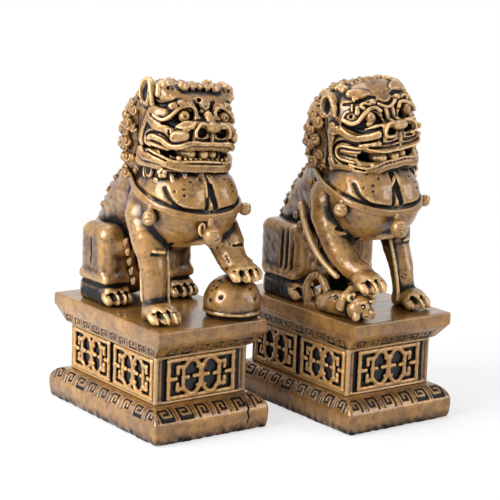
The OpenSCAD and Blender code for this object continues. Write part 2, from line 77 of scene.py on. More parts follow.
class Clay:
    """A lump of clay: distance to its surface on a grid, negative inside."""

    def __init__(self, low, high, step):
        first = np.floor(np.array(low, float) / step) - 3
        last = np.ceil(np.array(high, float) / step) + 3
        self.step = step
        self.first = first.astype(int)
        self.low = first * step
        self.count = (last - first).astype(int) + 1
        self.depth = np.full(self.count, FAR, np.float32)
        self.place()

    def place(self, origin=(0, 0, 0), lean=0.0):
        """Local frame of the next forms: its middle, and its lean about the length, in degrees."""
        c, s = math.cos(math.radians(lean)), math.sin(math.radians(lean))
        self.frame = np.array([[c, 0, s], [0, 1, 0], [-s, 0, c]])
        self.turn = self.frame
        self.origin = np.array(origin, float)

    def both_sides(self):
        """The forms of the loop's body are added on both sides of the local frame."""
        for side in (1, -1):
            self.turn = self.frame @ np.diag([side, 1, 1])
            yield
        self.turn = self.frame

    def window(self, low, high):
        """The part of the grid in a box, and the coordinates of its cells."""
        a = np.maximum(np.floor((low - self.low) / self.step).astype(int), 0)
        b = np.minimum(np.ceil((high - self.low) / self.step).astype(int) + 1, self.count)
        if np.any(b <= a):
            return None, None
        spot = tuple(slice(int(i), int(j)) for i, j in zip(a, b))
        axes = [(self.low[k] + self.step * np.arange(a[k], b[k])).astype(np.float32) for k in range(3)]
        return spot, np.ix_(*axes)

    def merge(self, spot, distance, blend, cut):
        """Add a form to the clay, or cut it out."""
        here = self.depth[spot]
        distance = distance.astype(np.float32)
        self.depth[spot] = -soft_min(-here, distance, blend) if cut else soft_min(here, distance, blend)

    def sweep(self, place, half, blend, cut, out=None, rise=0.0, root=0.0, edge=0.0):
        """Round rope, or with a way out at its points a flat band from its root to its rise."""
        reach = half.max() + rise + root + blend + 2 * self.step
        spot, grid = self.window(place.min(0) - reach, place.max(0) + reach)
        if spot is None:
            return
        best = None
        for i in range(max(len(place) - 1, 1)):
            j = min(i + 1, len(place) - 1)
            along = place[j] - place[i]
            p = [grid[k] - np.float32(place[i][k]) for k in range(3)]
            share = np.clip(sum(p[k] * np.float32(along[k]) for k in range(3))
                            / np.float32(max(along @ along, 1e-6)), 0, 1)
            wide = half[i] + share * (half[j] - half[i])
            p = [p[k] - share * np.float32(along[k]) for k in range(3)]
            gap = sum(v * v for v in p)
            if out is None:
                distance = np.sqrt(gap) - wide
            else:
                way = out[i] + out[j]
                way = way / np.linalg.norm(way)
                up = sum(p[k] * np.float32(way[k]) for k in range(3))
                side = np.sqrt(np.maximum(gap - up * up, 0)) - (wide - edge)
                up = np.abs(up - (rise - root) / 2) - ((rise + root) / 2 - edge)
                distance = (np.sqrt(np.maximum(side, 0) ** 2 + np.maximum(up, 0) ** 2)
                            + np.minimum(np.maximum(side, up), 0) - edge)
            best = distance if best is None else np.minimum(best, distance)
        self.merge(spot, best, blend, cut)

    def rope(self, points, blend=1.0, cut=False):
        """Round rope along a curve through points, each with its radius."""
        line = smooth_line(points)
        self.sweep(line[:, :3] @ self.turn.T + self.origin, np.maximum(line[:, 3], 0.2), blend, cut)

    def keep_face(self, axis):
        """Remember the surface as it is now. Bands are pressed onto it, by their turn round an axis."""
        self.face, self.axis = self.depth.copy(), np.array(axis, float)

    def press(self, turns, heights):
        """Places on the kept surface, and the way out of it there."""
        a = np.radians(turns)
        way = np.column_stack([np.sin(a), -np.cos(a), 0 * a]) @ self.turn.T
        foot = (self.axis + np.column_stack([0 * a, 0 * a, heights])) @ self.turn.T + self.origin
        reach = np.arange(34.0, 3.0, -0.2)
        probe = foot[:, None] + way[:, None] * reach[:, None]
        depth = self.at(probe.reshape(-1, 3), self.face).reshape(len(a), -1)
        hit = np.maximum((depth < 0).argmax(1), 1)
        rows = np.arange(len(a))
        seen = (depth < 0).any(1)
        outer, inner = depth[rows, hit - 1], depth[rows, hit]
        place = foot + way * (reach[hit] + 0.2 * inner / np.minimum(inner - outer, -1e-6))[:, None]
        out = np.stack([self.at(place + step, self.face) - self.at(place - step, self.face)
                        for step in 0.8 * np.eye(3)], 1)
        out = out / np.maximum(np.linalg.norm(out, axis=1, keepdims=True), 1e-6)
        return place[seen], out[seen], seen

    def dig(self, points, blend=1.0):
        """Round groove along a curve, the counterpart of a rope."""
        self.rope(points, blend, cut=True)

    def slot(self, spots, half, rise=0.9, **shape):
        """Flat groove in the kept surface, the counterpart of a band."""
        self.band(spots, half, rise, cut=True, **shape)

    def band(self, spots, half, rise=0.9, cut=False, blend=0.4, edge=0.6, root=1.6):
        """Flat band on the kept surface, through (turn, height) or (turn, height, half width)."""
        spots = np.array([s if len(s) == 3 else (*s, half) for s in spots], float)
        line = smooth_line(spots)
        place, out, seen = self.press(line[:, 0], line[:, 1])
        if not len(place):
            return
        wide = np.maximum(line[seen, 2], 0.3)
        low, high = (rise, root) if cut else (root, rise)
        self.sweep(place, wide, blend, cut, out, high, low, min(edge, wide.min(), (rise + root) / 2))

    def local(self, centre, reach, turn):
        """Coordinates round a centre, along axes turned by three angles in degrees."""
        rx, ry, rz = (math.radians(v) for v in turn)
        basis = self.turn @ np.array(Matrix.Rotation(rz, 3, "Z") @ Matrix.Rotation(ry, 3, "Y")
                                     @ Matrix.Rotation(rx, 3, "X"))
        c = self.turn @ np.array(centre, float) + self.origin
        spot, grid = self.window(c - reach, c + reach)
        if spot is None:
            return None, None
        p = [grid[k] - np.float32(c[k]) for k in range(3)]
        return spot, [sum(p[k] * np.float32(basis[k, m]) for k in range(3)) for m in range(3)]

    def egg(self, centre, half, blend=1.0, cut=False, turn=(0, 0, 0)):
        spot, q = self.local(centre, max(half) + blend + 2 * self.step, turn)
        if spot is None:
            return
        whole = np.sqrt(sum((q[k] / half[k]) ** 2 for k in range(3)))
        slope = np.sqrt(sum((q[k] / half[k] ** 2) ** 2 for k in range(3)))
        self.merge(spot, whole * (whole - 1) / np.maximum(slope, 1e-5), blend, cut)

    def block(self, centre, half, edge, blend=1.0, cut=False, turn=(0, 0, 0)):
        """Block with rounded edges."""
        reach = float(np.linalg.norm(half)) + blend + 2 * self.step
        spot, q = self.local(centre, reach, turn)
        if spot is None:
            return
        q = [np.abs(q[k]) - (half[k] - edge) for k in range(3)]
        out = np.sqrt(sum(np.maximum(v, 0) ** 2 for v in q))
        inner = np.minimum(np.maximum(np.maximum(q[0], q[1]), q[2]), 0)
        self.merge(spot, out + inner - edge, blend, cut)

    def loaf(self, centre, half, corner, edge, blend=1.0):
        """Upright block: round corners in plan, and a rounder or sharper edge at its top and bottom."""
        spot, q = self.local(centre, float(np.linalg.norm(half)) + blend + 2 * self.step, (0, 0, 0))
        if spot is None:
            return
        x, y = (np.abs(q[k]) - (half[k] - corner) for k in (0, 1))
        side = np.sqrt(np.maximum(x, 0) ** 2 + np.maximum(y, 0) ** 2)
        side = side + np.minimum(np.maximum(x, y), 0) - corner
        side, up = side + edge, np.abs(q[2]) - (half[2] - edge)
        out = np.sqrt(np.maximum(side, 0) ** 2 + np.maximum(up, 0) ** 2)
        distance = out + np.minimum(np.maximum(side, up), 0) - edge
        self.merge(spot, distance, blend, False)

    def floor(self):
        """Cut the clay off flat at height 0."""
        z = (self.low[2] + self.step * np.arange(self.count[2])).astype(np.float32)
        self.depth = np.maximum(self.depth, -z[None, None, :])

    def at(self, points, grid=None):
        """Depth at points, or the value there of another grid like this one."""
        return sample(self.depth if grid is None else grid, self.low, self.step, points)

    def solid(self):
        """How full each cell of the grid is, from 0 to 1."""
        return np.clip(0.5 - self.depth / self.step, 0, 1)

    def buried(self, points, reach):
        """How sheltered points are, over a reach in cells: 0 on a flat face, more in a groove."""
        return self.at(points, blur(self.solid(), reach)) - 0.5

    def skin(self):
        """Closed mesh of the surface: its points, and four-sided faces turned outwards."""
        d = self.depth
        inside = d < 0
        corners = [(i, j, k) for i in (0, 1) for j in (0, 1) for k in (0, 1)]
        n = self.count - 1

        def part(grid, corner):
            i, j, k = corner
            return grid[i:i + n[0], j:j + n[1], k:k + n[2]]

        full = sum(part(inside, c).astype(np.uint8) for c in corners)
        cells = np.argwhere((full > 0) & (full < 8))
        number = np.full(n, -1, np.int32)
        number[tuple(cells.T)] = np.arange(len(cells))
        value = np.stack([d[tuple((cells + c).T)] for c in corners], 1)
        total = np.zeros((len(cells), 3))
        hits = np.zeros(len(cells))
        for a in range(8):
            for b in range(a + 1, 8):
                step = np.array(corners[b]) - np.array(corners[a])
                if np.abs(step).sum() != 1 or step.sum() < 0:
                    continue
                va, vb = value[:, a], value[:, b]
                cross = (va < 0) != (vb < 0)
                share = np.where(cross, va / np.where(cross, va - vb, 1), 0)
                total += cross[:, None] * (np.array(corners[a]) + share[:, None] * step)
                hits += cross
        points = self.low + self.step * (cells + total / hits[:, None])
        faces = []
        for axis in range(3):
            u, v = (axis + 1) % 3, (axis + 2) % 3
            here = [slice(1, -1)] * 3
            here[axis] = slice(0, -1)
            there = list(here)
            there[axis] = slice(1, None)
            a, b = inside[tuple(here)], inside[tuple(there)]
            spot = np.argwhere(a != b)
            offset = np.ones(3, int)
            offset[axis] = 0
            cell = spot + offset
            eu, ev = np.eye(3, dtype=int)[u], np.eye(3, dtype=int)[v]
            ring = [number[tuple((cell - s).T)] for s in (eu + ev, ev, 0 * eu, eu)]
            quad = np.stack(ring, 1)
            out = a[tuple(spot.T)]
            faces.append(np.where(out[:, None], quad, quad[:, ::-1]))
        return points, np.concatenate(faces)


def blur(grid, reach):
    """Average of the cells within a reach, run twice along each axis."""
    width = 2 * reach + 1
    for axis in range(3):
        for _ in range(2):
            pad = [(0, 0)] * 3
            pad[axis] = (reach + 1, reach)
            total = np.cumsum(np.pad(grid, pad, mode="edge"), axis=axis, dtype=np.float64)
            grid = (np.take(total, range(width, total.shape[axis]), axis=axis)
                    - np.take(total, range(0, total.shape[axis] - width), axis=axis)) / width
            grid = grid.astype(np.float32)
    return grid


def sample(grid, low, step, points):
    """Values of a grid at points between its cells."""
    p = (points - low) / step
    base = np.clip(np.floor(p).astype(int), 0, np.array(grid.shape) - 2)
    share = np.clip(p - base, 0, 1)
    value = 0
    for i in (0, 1):
        for j in (0, 1):
            for k in (0, 1):
                weight = 1.0
                for axis, bit in enumerate((i, j, k)):
                    weight = weight * (share[:, axis] if bit else 1 - share[:, axis])
                value = value + weight * grid[base[:, 0] + i, base[:, 1] + j, base[:, 2] + k]
    return value


def face_normals(points, faces):
    return np.cross(points[faces[:, 2]] - points[faces[:, 0]], points[faces[:, 3]] - points[faces[:, 1]])


def point_normals(points, faces):
    out = np.zeros_like(points)
    each = face_normals(points, faces)
    for axis in range(3):
        for corner in range(4):
            out[:, axis] += np.bincount(faces[:, corner], each[:, axis], len(points))
    return out / np.maximum(np.linalg.norm(out, axis=1, keepdims=True), 1e-9)


def hand_waves(points, size, seed):
    """Slow uneven waves of about a size, from -1 to 1, such as a modelling tool leaves."""
    rng = np.random.default_rng(seed)
    total = np.zeros(len(points))
    for _ in range(7):
        way = rng.normal(size=3)
        way *= 2 * math.pi / (size * rng.uniform(0.7, 1.6) * np.linalg.norm(way))
        total += np.sin(points @ way + rng.uniform(0, 2 * math.pi))
    return total / 3.2


# The two figurines

class Figurine:
    """Where a figurine stands. The female is carved as the mirror image, and both raise the paw on +X."""

    def __init__(self, sex, x, y, mirror, lean, set_back, jaw_drop):
        self.sex, self.mirror = sex, mirror
        self.x, self.y = x, y
        self.lean, self.set_back, self.jaw_drop = lean, set_back, jaw_drop
        self.head = (0, -15.5 + set_back, 93.2)

    def world(self, points, base=SLAB_TOP):
        flip = -1 if self.mirror else 1
        return (np.asarray(points) * [flip, 1, 1] + [self.x, self.y, base]) * MM

    def own(self, points):
        flip = -1 if self.mirror else 1
        return (np.asarray(points) / MM - [self.x, self.y, SLAB_TOP]) * [flip, 1, 1]


MALE = Figurine("male", -45.5, 16.7, mirror=False, lean=4.5, set_back=0.0, jaw_drop=0.0)
FEMALE = Figurine("female", 45.5, -16.7, mirror=True, lean=8.0, set_back=4.0, jaw_drop=-2.2)


def link(name, mesh, material, lion, slot, nodes):
    """Put a piece into the scene, on its body and in place of its nodes."""
    mesh.materials.clear()
    mesh.materials.append(material)
    piece = bpy.data.objects.new(name, mesh)
    bpy.context.scene.collection.objects.link(piece)
    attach(piece, lion.sex)
    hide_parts(*[f"{lion.sex}_{n}" for n in nodes])


def keep(mesh, layer, values):
    """Keep values at a mesh's points: numbers or vectors."""
    values = np.asarray(values, np.float32)
    kind, field = ("FLOAT", "value") if values.ndim == 1 else ("FLOAT_VECTOR", "vector")
    mesh.attributes.new(layer, kind, "POINT").data.foreach_set(field, values.ravel())


def point_mesh(name, points, **layers):
    """Mesh of loose points in metres, with values kept at them."""
    mesh = bpy.data.meshes.new(name)
    mesh.vertices.add(len(points))
    mesh.vertices.foreach_set("co", np.asarray(points, np.float32).ravel())
    for layer, values in layers.items():
        keep(mesh, layer, values)
    return mesh


def quad_mesh(name, points, faces, **layers):
    """Mesh in metres from points and four-sided faces, with values kept at its points."""
    mesh = point_mesh(name, points, **layers)
    mesh.loops.add(4 * len(faces))
    mesh.loops.foreach_set("vertex_index", np.asarray(faces, np.int32).ravel())
    mesh.polygons.add(len(faces))
    mesh.polygons.foreach_set("loop_start", np.arange(0, 4 * len(faces), 4, dtype=np.int32))
    mesh.polygons.foreach_set("use_smooth", np.ones(len(faces), bool))
    mesh.update(calc_edges=True)
    mesh.validate()
    return mesh


class Recess:
    """The whole lion at a coarse step, which tells how sheltered a place on it is, for painted shade in its
    broad recesses and next to the floor.
    """

    def __init__(self, low, high, step):
        self.clay = Clay(low, high, step)

    def add(self, clay):
        first = clay.first - self.clay.first
        a = np.maximum(first, 0)
        b = np.minimum(first + clay.count, self.clay.count)
        whole = tuple(slice(i, j) for i, j in zip(a, b))
        part = tuple(slice(i, j) for i, j in zip(a - first, b - first))
        self.clay.depth[whole] = np.minimum(self.clay.depth[whole], clay.depth[part])

    def finish(self):
        full = self.clay.solid()
        z = self.clay.low[2] + self.clay.step * np.arange(self.clay.count[2])
        # Below the floor counts as solid, so places near the floor get painted shade as well.
        full[:, :, z < 0] = 1
        self.near = blur(full, 1)
        self.wide = blur(full, 4)

    def at(self, points):
        """Shelter at points, painted as shade where it is high and as lighter gold where it is low: about 0
        on a flat face, up to 1 in a recess, negative on an edge.
        """
        near, wide = (self.clay.at(points, grid) for grid in (self.near, self.wide))
        return 2 * (0.45 * (near - 0.5) + 0.55 * (wide - 0.5))


def carve(recipe, low, high, step, lion):
    clay = Clay(low, high, step)
    recipe(clay, lion)
    return clay


def carved_piece(name, clay, recess, lion, material, slot, nodes, waves=0.12, seed=1, soot=0.0, below=FAR):
    """Mesh of a carved form, with how deep each point lies in a groove, for its patina, and how sheltered
    it is, for painted shade, with added shade below a height.
    """
    points, faces = clay.skin()
    groove = 2 * clay.buried(points, 1) + 1.2 * clay.buried(points, 3)
    # Painted shade: the lion's shelter at each point, and added shade towards the bottom below a height.
    hollow = recess.at(points) + soot * np.clip((below - points[:, 2]) / 4, 0, 1)
    points = points + waves * point_normals(points, faces) * hand_waves(points, 5.0, seed)[:, None]
    if lion.mirror:
        faces = faces[:, ::-1]
    mesh = quad_mesh(name, lion.world(points), faces, groove=groove, hollow=hollow)
    link(name, mesh, material, lion, slot, nodes)


# Carving of each lion's forms
#
# The raised paw is on +X and the front on -Y. Ropes and grooves go through (x, y, z, radius). Bands and
# slots go through (turn from the front in degrees, height), with a half width where there is a third.

def trunk(clay, lion):
    back = lion.set_back
    clay.place()
    clay.rope([(0, 30, 15, 15), (0, 27, 35, 16.6), (0, 16, 50, 18), (0, 2 + back / 2, 58, 19.4),
               (0, -12 + back, 58.5, 19.6)], 4)
    clay.rope([(0, -14 + back, 50, 15), (0, 8, 40, 15), (0, 24, 24, 15)], 5)
    clay.rope([(0, -8 + back, 66, 18.5), (0, -11 + back, 84, 16)], 5)
    # Chest: a barrel that ends in a sharp edge underneath
    for _ in clay.both_sides():
        clay.egg((7.6, -24.0 + back, 56), (17.2, 20.8, 20.5), 5)
    clay.egg((0, -26 + back, 62), (20, 14, 12), 5)
    clay.egg((0, -10, 20), (13, 26, 19), 4, cut=True)
    clay.rope([(-13, -22 + back, 37.6, 1.4), (-6, -33 + back, 38.4, 1.6), (5, -35 + back, 39.0, 1.6),
               (13, -26 + back, 39.6, 1.4)], 3.0)
    # Bib of hair under the beard, in two bulges with a dark gap between them
    for _ in clay.both_sides():
        clay.egg((10.6, -29.5 + back, 62.0), (10.2, 12.2, 10.4), 0.8)
        clay.dig([(0.2, -38 + back, 70, 1.5), (1.2, -42.5 + back, 63, 1.6), (2.6, -43.5 + back, 56.5, 1.2)],
                 1.2)
        clay.dig([(20.5, -34 + back, 66, 1.0), (19.6, -38.5 + back, 60, 1.3),
                  (14.4, -42 + back, 55.5, 1.2)], 1.0)
        for i in range(16):
            a, b = 2.4 * i, 0.25 + 0.055 * i
            x, z = 10.6 + 10.2 * b * math.cos(a), 62 + 10.4 * b * math.sin(a)
            y = -29.5 + back - 12.2 * math.sqrt(max(1 - b * b, 0))
            clay.dig([(x, y, z, 0.35), (x + 0.9, y, z + 1.0 - 0.2 * (i % 5), 0.5)], 0.6)
    standing_leg(clay, lion)
    if lion.sex == "male":
        ball_leg(clay)
    else:
        cub_leg(clay)
    lion.strap, lion.strap_out = press_strap(clay, lion)
    # Groove along the strap's upper edge, and the cut between each shoulder and the chest
    above = lion.strap + [0, 0, 2.3] + 0.3 * lion.strap_out
    clay.dig(np.column_stack([above, np.full(len(above), 1.45)]), 0.6)
    for _ in clay.both_sides():
        clay.dig([(14.5, -31.5 + back, 57, 1.3), (12.6, -35 + back, 50, 1.3), (12.4, -33.5 + back, 43, 1.0),
                  (13.4, -28 + back, 35, 1.0)], 1.0)
        clay.dig([(24.6, -2, 62, 0.9), (25.6, -3.5, 52, 1.3), (24.4, -6, 42, 1.2)], 1.6)
        clay.dig([(20.5, -25.5 + back, 61, 2.0), (17.5, -31.0 + back, 55, 1.8)], 1.2)
    # Spine: a strap-like ridge down the back, with a cut on each side
    for x in (-3.6, 3.6):
        clay.rope([(x, 14, 74, 1.1), (x, 24, 68.4, 1.1), (x, 33, 57.4, 1.1), (x, 39, 44.4, 1.1),
                   (x, 40, 30, 1.1)], 0.8)
        clay.dig([(1.9 * x, 14, 72, 0.8), (1.9 * x, 23.5, 66, 0.9), (1.9 * x, 32, 56, 0.9),
                  (1.9 * x, 37, 44, 0.9)], 0.8)
    clay.floor()


def toes(clay, spots, back, claw=True):
    """Toes from the foot at their back to their ends, with a dark slot between each two."""
    for x, y, z, r in spots:
        clay.rope([(x + 0.2 * (back[0] - x), y + back[1], z + back[2], r * 0.8), (x, y + 2.0, z + 0.9, r),
                   (x, y, z - 0.4, r * 0.95)], 0.6)
        clay.dig([(x - 1.2, y + 0.6, z + r * 0.95, 0.45), (x + 1.2, y + 0.6, z + r * 0.95, 0.45)], 0.4)
        if claw:
            clay.rope([(x, y - r * 0.8, z - r * 0.1, 1.0), (x, y - r * 1.05, z - r * 0.7, 0.7)], 0.4)
    for (x, y, z, _), (x2, y2, z2, _) in zip(spots, spots[1:]):
        mx, my, mz = (x + x2) / 2, (y + y2) / 2, (z + z2) / 2
        clay.dig([(mx, my + 4.2, mz + 3.0, 0.8), (mx, my + 0.5, mz + 2.0, 1.3), (mx, my - 3, mz - 0.5, 1.5),
                  (mx, my - 2, mz - 3.5, 1.4)], 0.4)


def standing_leg(clay, lion):
    b = lion.set_back
    clay.egg((-17.6, -15.5 + b * 0.8, 51), (8.4, 13.5, 17.5), 2.0, turn=(-4, 0, 0))
    clay.rope([(-18.3, -15 + b, 50, 10.0), (-19.0, -19.5 + b, 40, 9.0), (-19.3, -21.5 + b, 34.5, 7.8)], 1.5)
    # Fold under the elbow
    clay.rope([(-19.3, -22.6 + b, 30, 6.9), (-19.4, -25.2 + b / 2, 20, 6.1), (-19.6, -25.8, 9, 5.6),
               (-19.6, -26, 4, 6.2)], 0.6)
    clay.dig([(-23, -28.4 + b, 33.0, 0.8), (-18.5, -30.6 + b, 32.6, 0.9), (-13.4, -28.6 + b, 31.4, 0.8)],
             0.7)
    clay.rope([(-22, -29.2 + b, 34.6, 0.8), (-17.5, -30.8 + b, 34.2, 0.8)], 0.6)
    clay.egg((-19.9, -31.5, 5.4), (7.4, 8.5, 5.0), 2)
    # Flange down the inner side with the groove beside it, and the wrinkles on the shin
    clay.rope([(-12.6, -25.5 + b, 34, 1.0), (-12.9, -27.6 + b / 2, 22, 0.9), (-13.2, -28.6, 10, 1.0),
               (-12, -30, 4.5, 0.9)], 0.5)
    clay.dig([(-14.2, -28.6 + b, 31, 0.8), (-14.5, -30.4 + b / 2, 20, 0.8), (-14.8, -31.0, 10, 0.7)], 0.4)
    for i in range(6):
        z = 26.5 - 2.2 * i
        clay.dig([(-17.9, -31.2 + b / 2, z - 1.4, 0.3), (-15.2, -30.7 + b / 2, z + 0.7, 0.5)], 0.3)
    clay.dig([(-22.5, -29.6 + b / 2, 26, 0.35), (-21.5, -31.2, 21, 0.4)], 0.3)
    clay.rope([(-25.6, -23 + b / 2, 24, 0.6), (-25.4, -24.5, 10, 0.7)], 0.6)
    toes(clay, [(-25.8, -36.6, 3.4, 2.5), (-22.0, -40.4, 4.2, 2.7), (-17.8, -40.8, 4.2, 2.7),
                (-14.0, -37.6, 3.4, 2.5)], (-19.9, 6, 2.6))


def ball_leg(clay):
    clay.egg((18.0, -17, 50.5), (8.6, 12.5, 16.5), 2.0, turn=(-10, 0, 0))
    clay.rope([(18.6, -18, 48, 10), (19.2, -25, 40.5, 9.4), (19.2, -30, 35.6, 8.6)], 1.5)
    clay.rope([(19.0, -31.5, 33.2, 8.0), (18.6, -36.5, 28.4, 7.2), (19.6, -41, 25.4, 6.4)], 0.7)
    clay.dig([(12.4, -33.0, 34.6, 0.9), (17.5, -38.6, 35.2, 0.9), (24, -37.5, 35.6, 0.9)], 0.7)
    clay.egg((20.4, -43.0, 23.8), (8.6, 7.0, 4.8), 1.2, turn=(8, 0, 0))
    for i in range(9):
        x, z = 12.6 + 1.25 * i, 41 - 0.9 * i + 1.2 * (i % 2)
        clay.dig([(x, -35.2 - 0.35 * i, z, 0.3), (x + 1.2, -37.6 - 0.3 * i, z - 3.6, 0.5)], 0.3)
    for i in range(4):
        clay.dig([(12.6 + 2.6 * i, -38.6, 31.5 - 0.8 * i, 0.3),
                  (13.4 + 2.8 * i, -41, 28.6 - 0.6 * i, 0.45)], 0.3)
    # Cuff over the paw
    clay.rope([(12.0, -38.0, 26.0, 0.8), (16, -42.6, 28.0, 0.9), (23, -43.6, 29.0, 0.9),
               (27.4, -40, 27.4, 0.8)], 0.5)
    clay.dig([(12.4, -40.0, 24.6, 0.7), (16, -44.2, 26.6, 0.8), (23, -45.2, 27.4, 0.8)], 0.4)
    toes(clay, [(14.0, -46.4, 22.2, 2.7), (18.2, -48.9, 22.4, 2.8), (22.8, -49.0, 22.4, 2.8),
                (26.8, -46.6, 22.2, 2.6)], (20.4, 5.5, 2.2))


def cub_leg(clay):
    clay.egg((18.6, -8.5, 53), (8.8, 10.5, 13.5), 1.6, turn=(-8, 0, 0))
    clay.rope([(18.6, -9.5, 47, 9.2), (19.2, -13.0, 42, 8.4)], 1.5)
    # Knee fold, the shin and the ridge along the back of the leg
    clay.rope([(18.6, -15.0, 38.0, 8.0), (18.0, -19.5, 31, 7.4), (16.4, -26.0, 24.5, 6.4),
               (15.0, -33, 21.6, 5.8)], 0.6)
    clay.rope([(11.5, -21.4, 40.2, 0.9), (17, -24.0, 40.4, 1.1), (23, -20.4, 40, 1.0)], 0.6)
    clay.dig([(11.5, -22.0, 42.2, 0.8), (17, -23.4, 42.6, 0.9), (24, -18.4, 42, 0.8)], 0.5)
    clay.dig([(14.4, -25.6, 36.6, 0.5), (19.4, -26.0, 36.8, 0.6)], 0.4)
    clay.rope([(25.4, 4.5, 51, 1.5), (26.0, 0, 42, 1.7), (25.6, -6.0, 33, 1.7), (24.2, -13.0, 25, 1.6),
               (21.5, -21.5, 18.5, 1.6)], 0.5)
    clay.dig([(24.6, -1.5, 48.5, 1.2), (25.4, -4.4, 40, 1.3), (25, -10.2, 32.4, 1.3), (23, -17.0, 25, 1.2)],
             0.4)
    clay.egg((15.2, -37.5, 19), (7.6, 7.2, 4.8), 1.4, turn=(6, 0, 0))
    for i in range(5):
        clay.dig([(12.5 + 1.1 * i, -27.5 - 0.6 * i, 33 - 1.9 * i, 0.3),
                  (13.5 + 1.2 * i, -29.6, 30.4 - 1.8 * i, 0.45)], 0.3)
    toes(clay, [(9.2, -42.3, 16.6, 2.6), (13.1, -45.5, 17.1, 2.8), (17.3, -45.4, 17.1, 2.8),
                (21.0, -42.4, 16.4, 2.6)], (15.2, 6, 3.0))


def hind_legs(clay, lion):
    clay.place()
    for _ in clay.both_sides():
        if lion.sex == "male":
            clay.block((19.2, 20.5, 25.5), (8.0, 13, 15.0), 6.2, 2)
            clay.rope([(19, 15, 34, 5.5), (17, 9, 30, 4.5)], 3)
            clay.dig([(26.6, 7.6, 37, 1.1), (27.2, 8.2, 27, 1.7), (26.8, 8.6, 14.5, 1.3)], 1.2)
            clay.dig([(27.6, 21, 33, 0.5), (27.8, 20.4, 26, 0.9), (27.6, 20.8, 20, 0.4)], 1.0)
        else:
            clay.block((18.8, 21.5, 25), (8.2, 15, 14.6), 4.6, 2)
            clay.block((18.5, 8, 25), (6, 5, 11), 4, 3)
            for y, top in ((16.5, 36), (12.5, 38), (8.5, 35)):
                clay.dig([(27.3, y, top, 0.9), (27.2, y + 0.3, 27, 1.2), (26.6, y + 0.8, 15, 0.8)], 1.2)
        # Slight flare at the haunch's foot, and the foot under it
        clay.block((19.2, 20.5, 13.2), (8.0, 13.3, 2.6), 2.4, 2.5)
        clay.dig([(24.4, 32.5, 9.4, 0.9), (26.8, 20, 9.8, 1.1), (25.2, 7.5, 10, 1.0)], 0.7)
        clay.block((19.2, 21, 5), (7.2, 13.5, 5.6), 3.2, 1.2)
        clay.block((19.4, 10.5, 4.6), (7.0, 4.6, 5.2), 2.6, 1.0)
        toes(clay, [(25.4, 5.6, 3.8, 2.6), (21.7, 4.0, 4.2, 2.8), (17.7, 4.0, 4.2, 2.8),
                    (14.0, 5.6, 3.8, 2.6)], (19.6, 5.5, 3.2), claw=False)
    clay.floor()


def in_head(clay, lion, drop=0.0):
    clay.place(lion.head, lion.lean)
    if drop:
        clay.origin = clay.origin + clay.frame @ np.array([0, 0, drop])


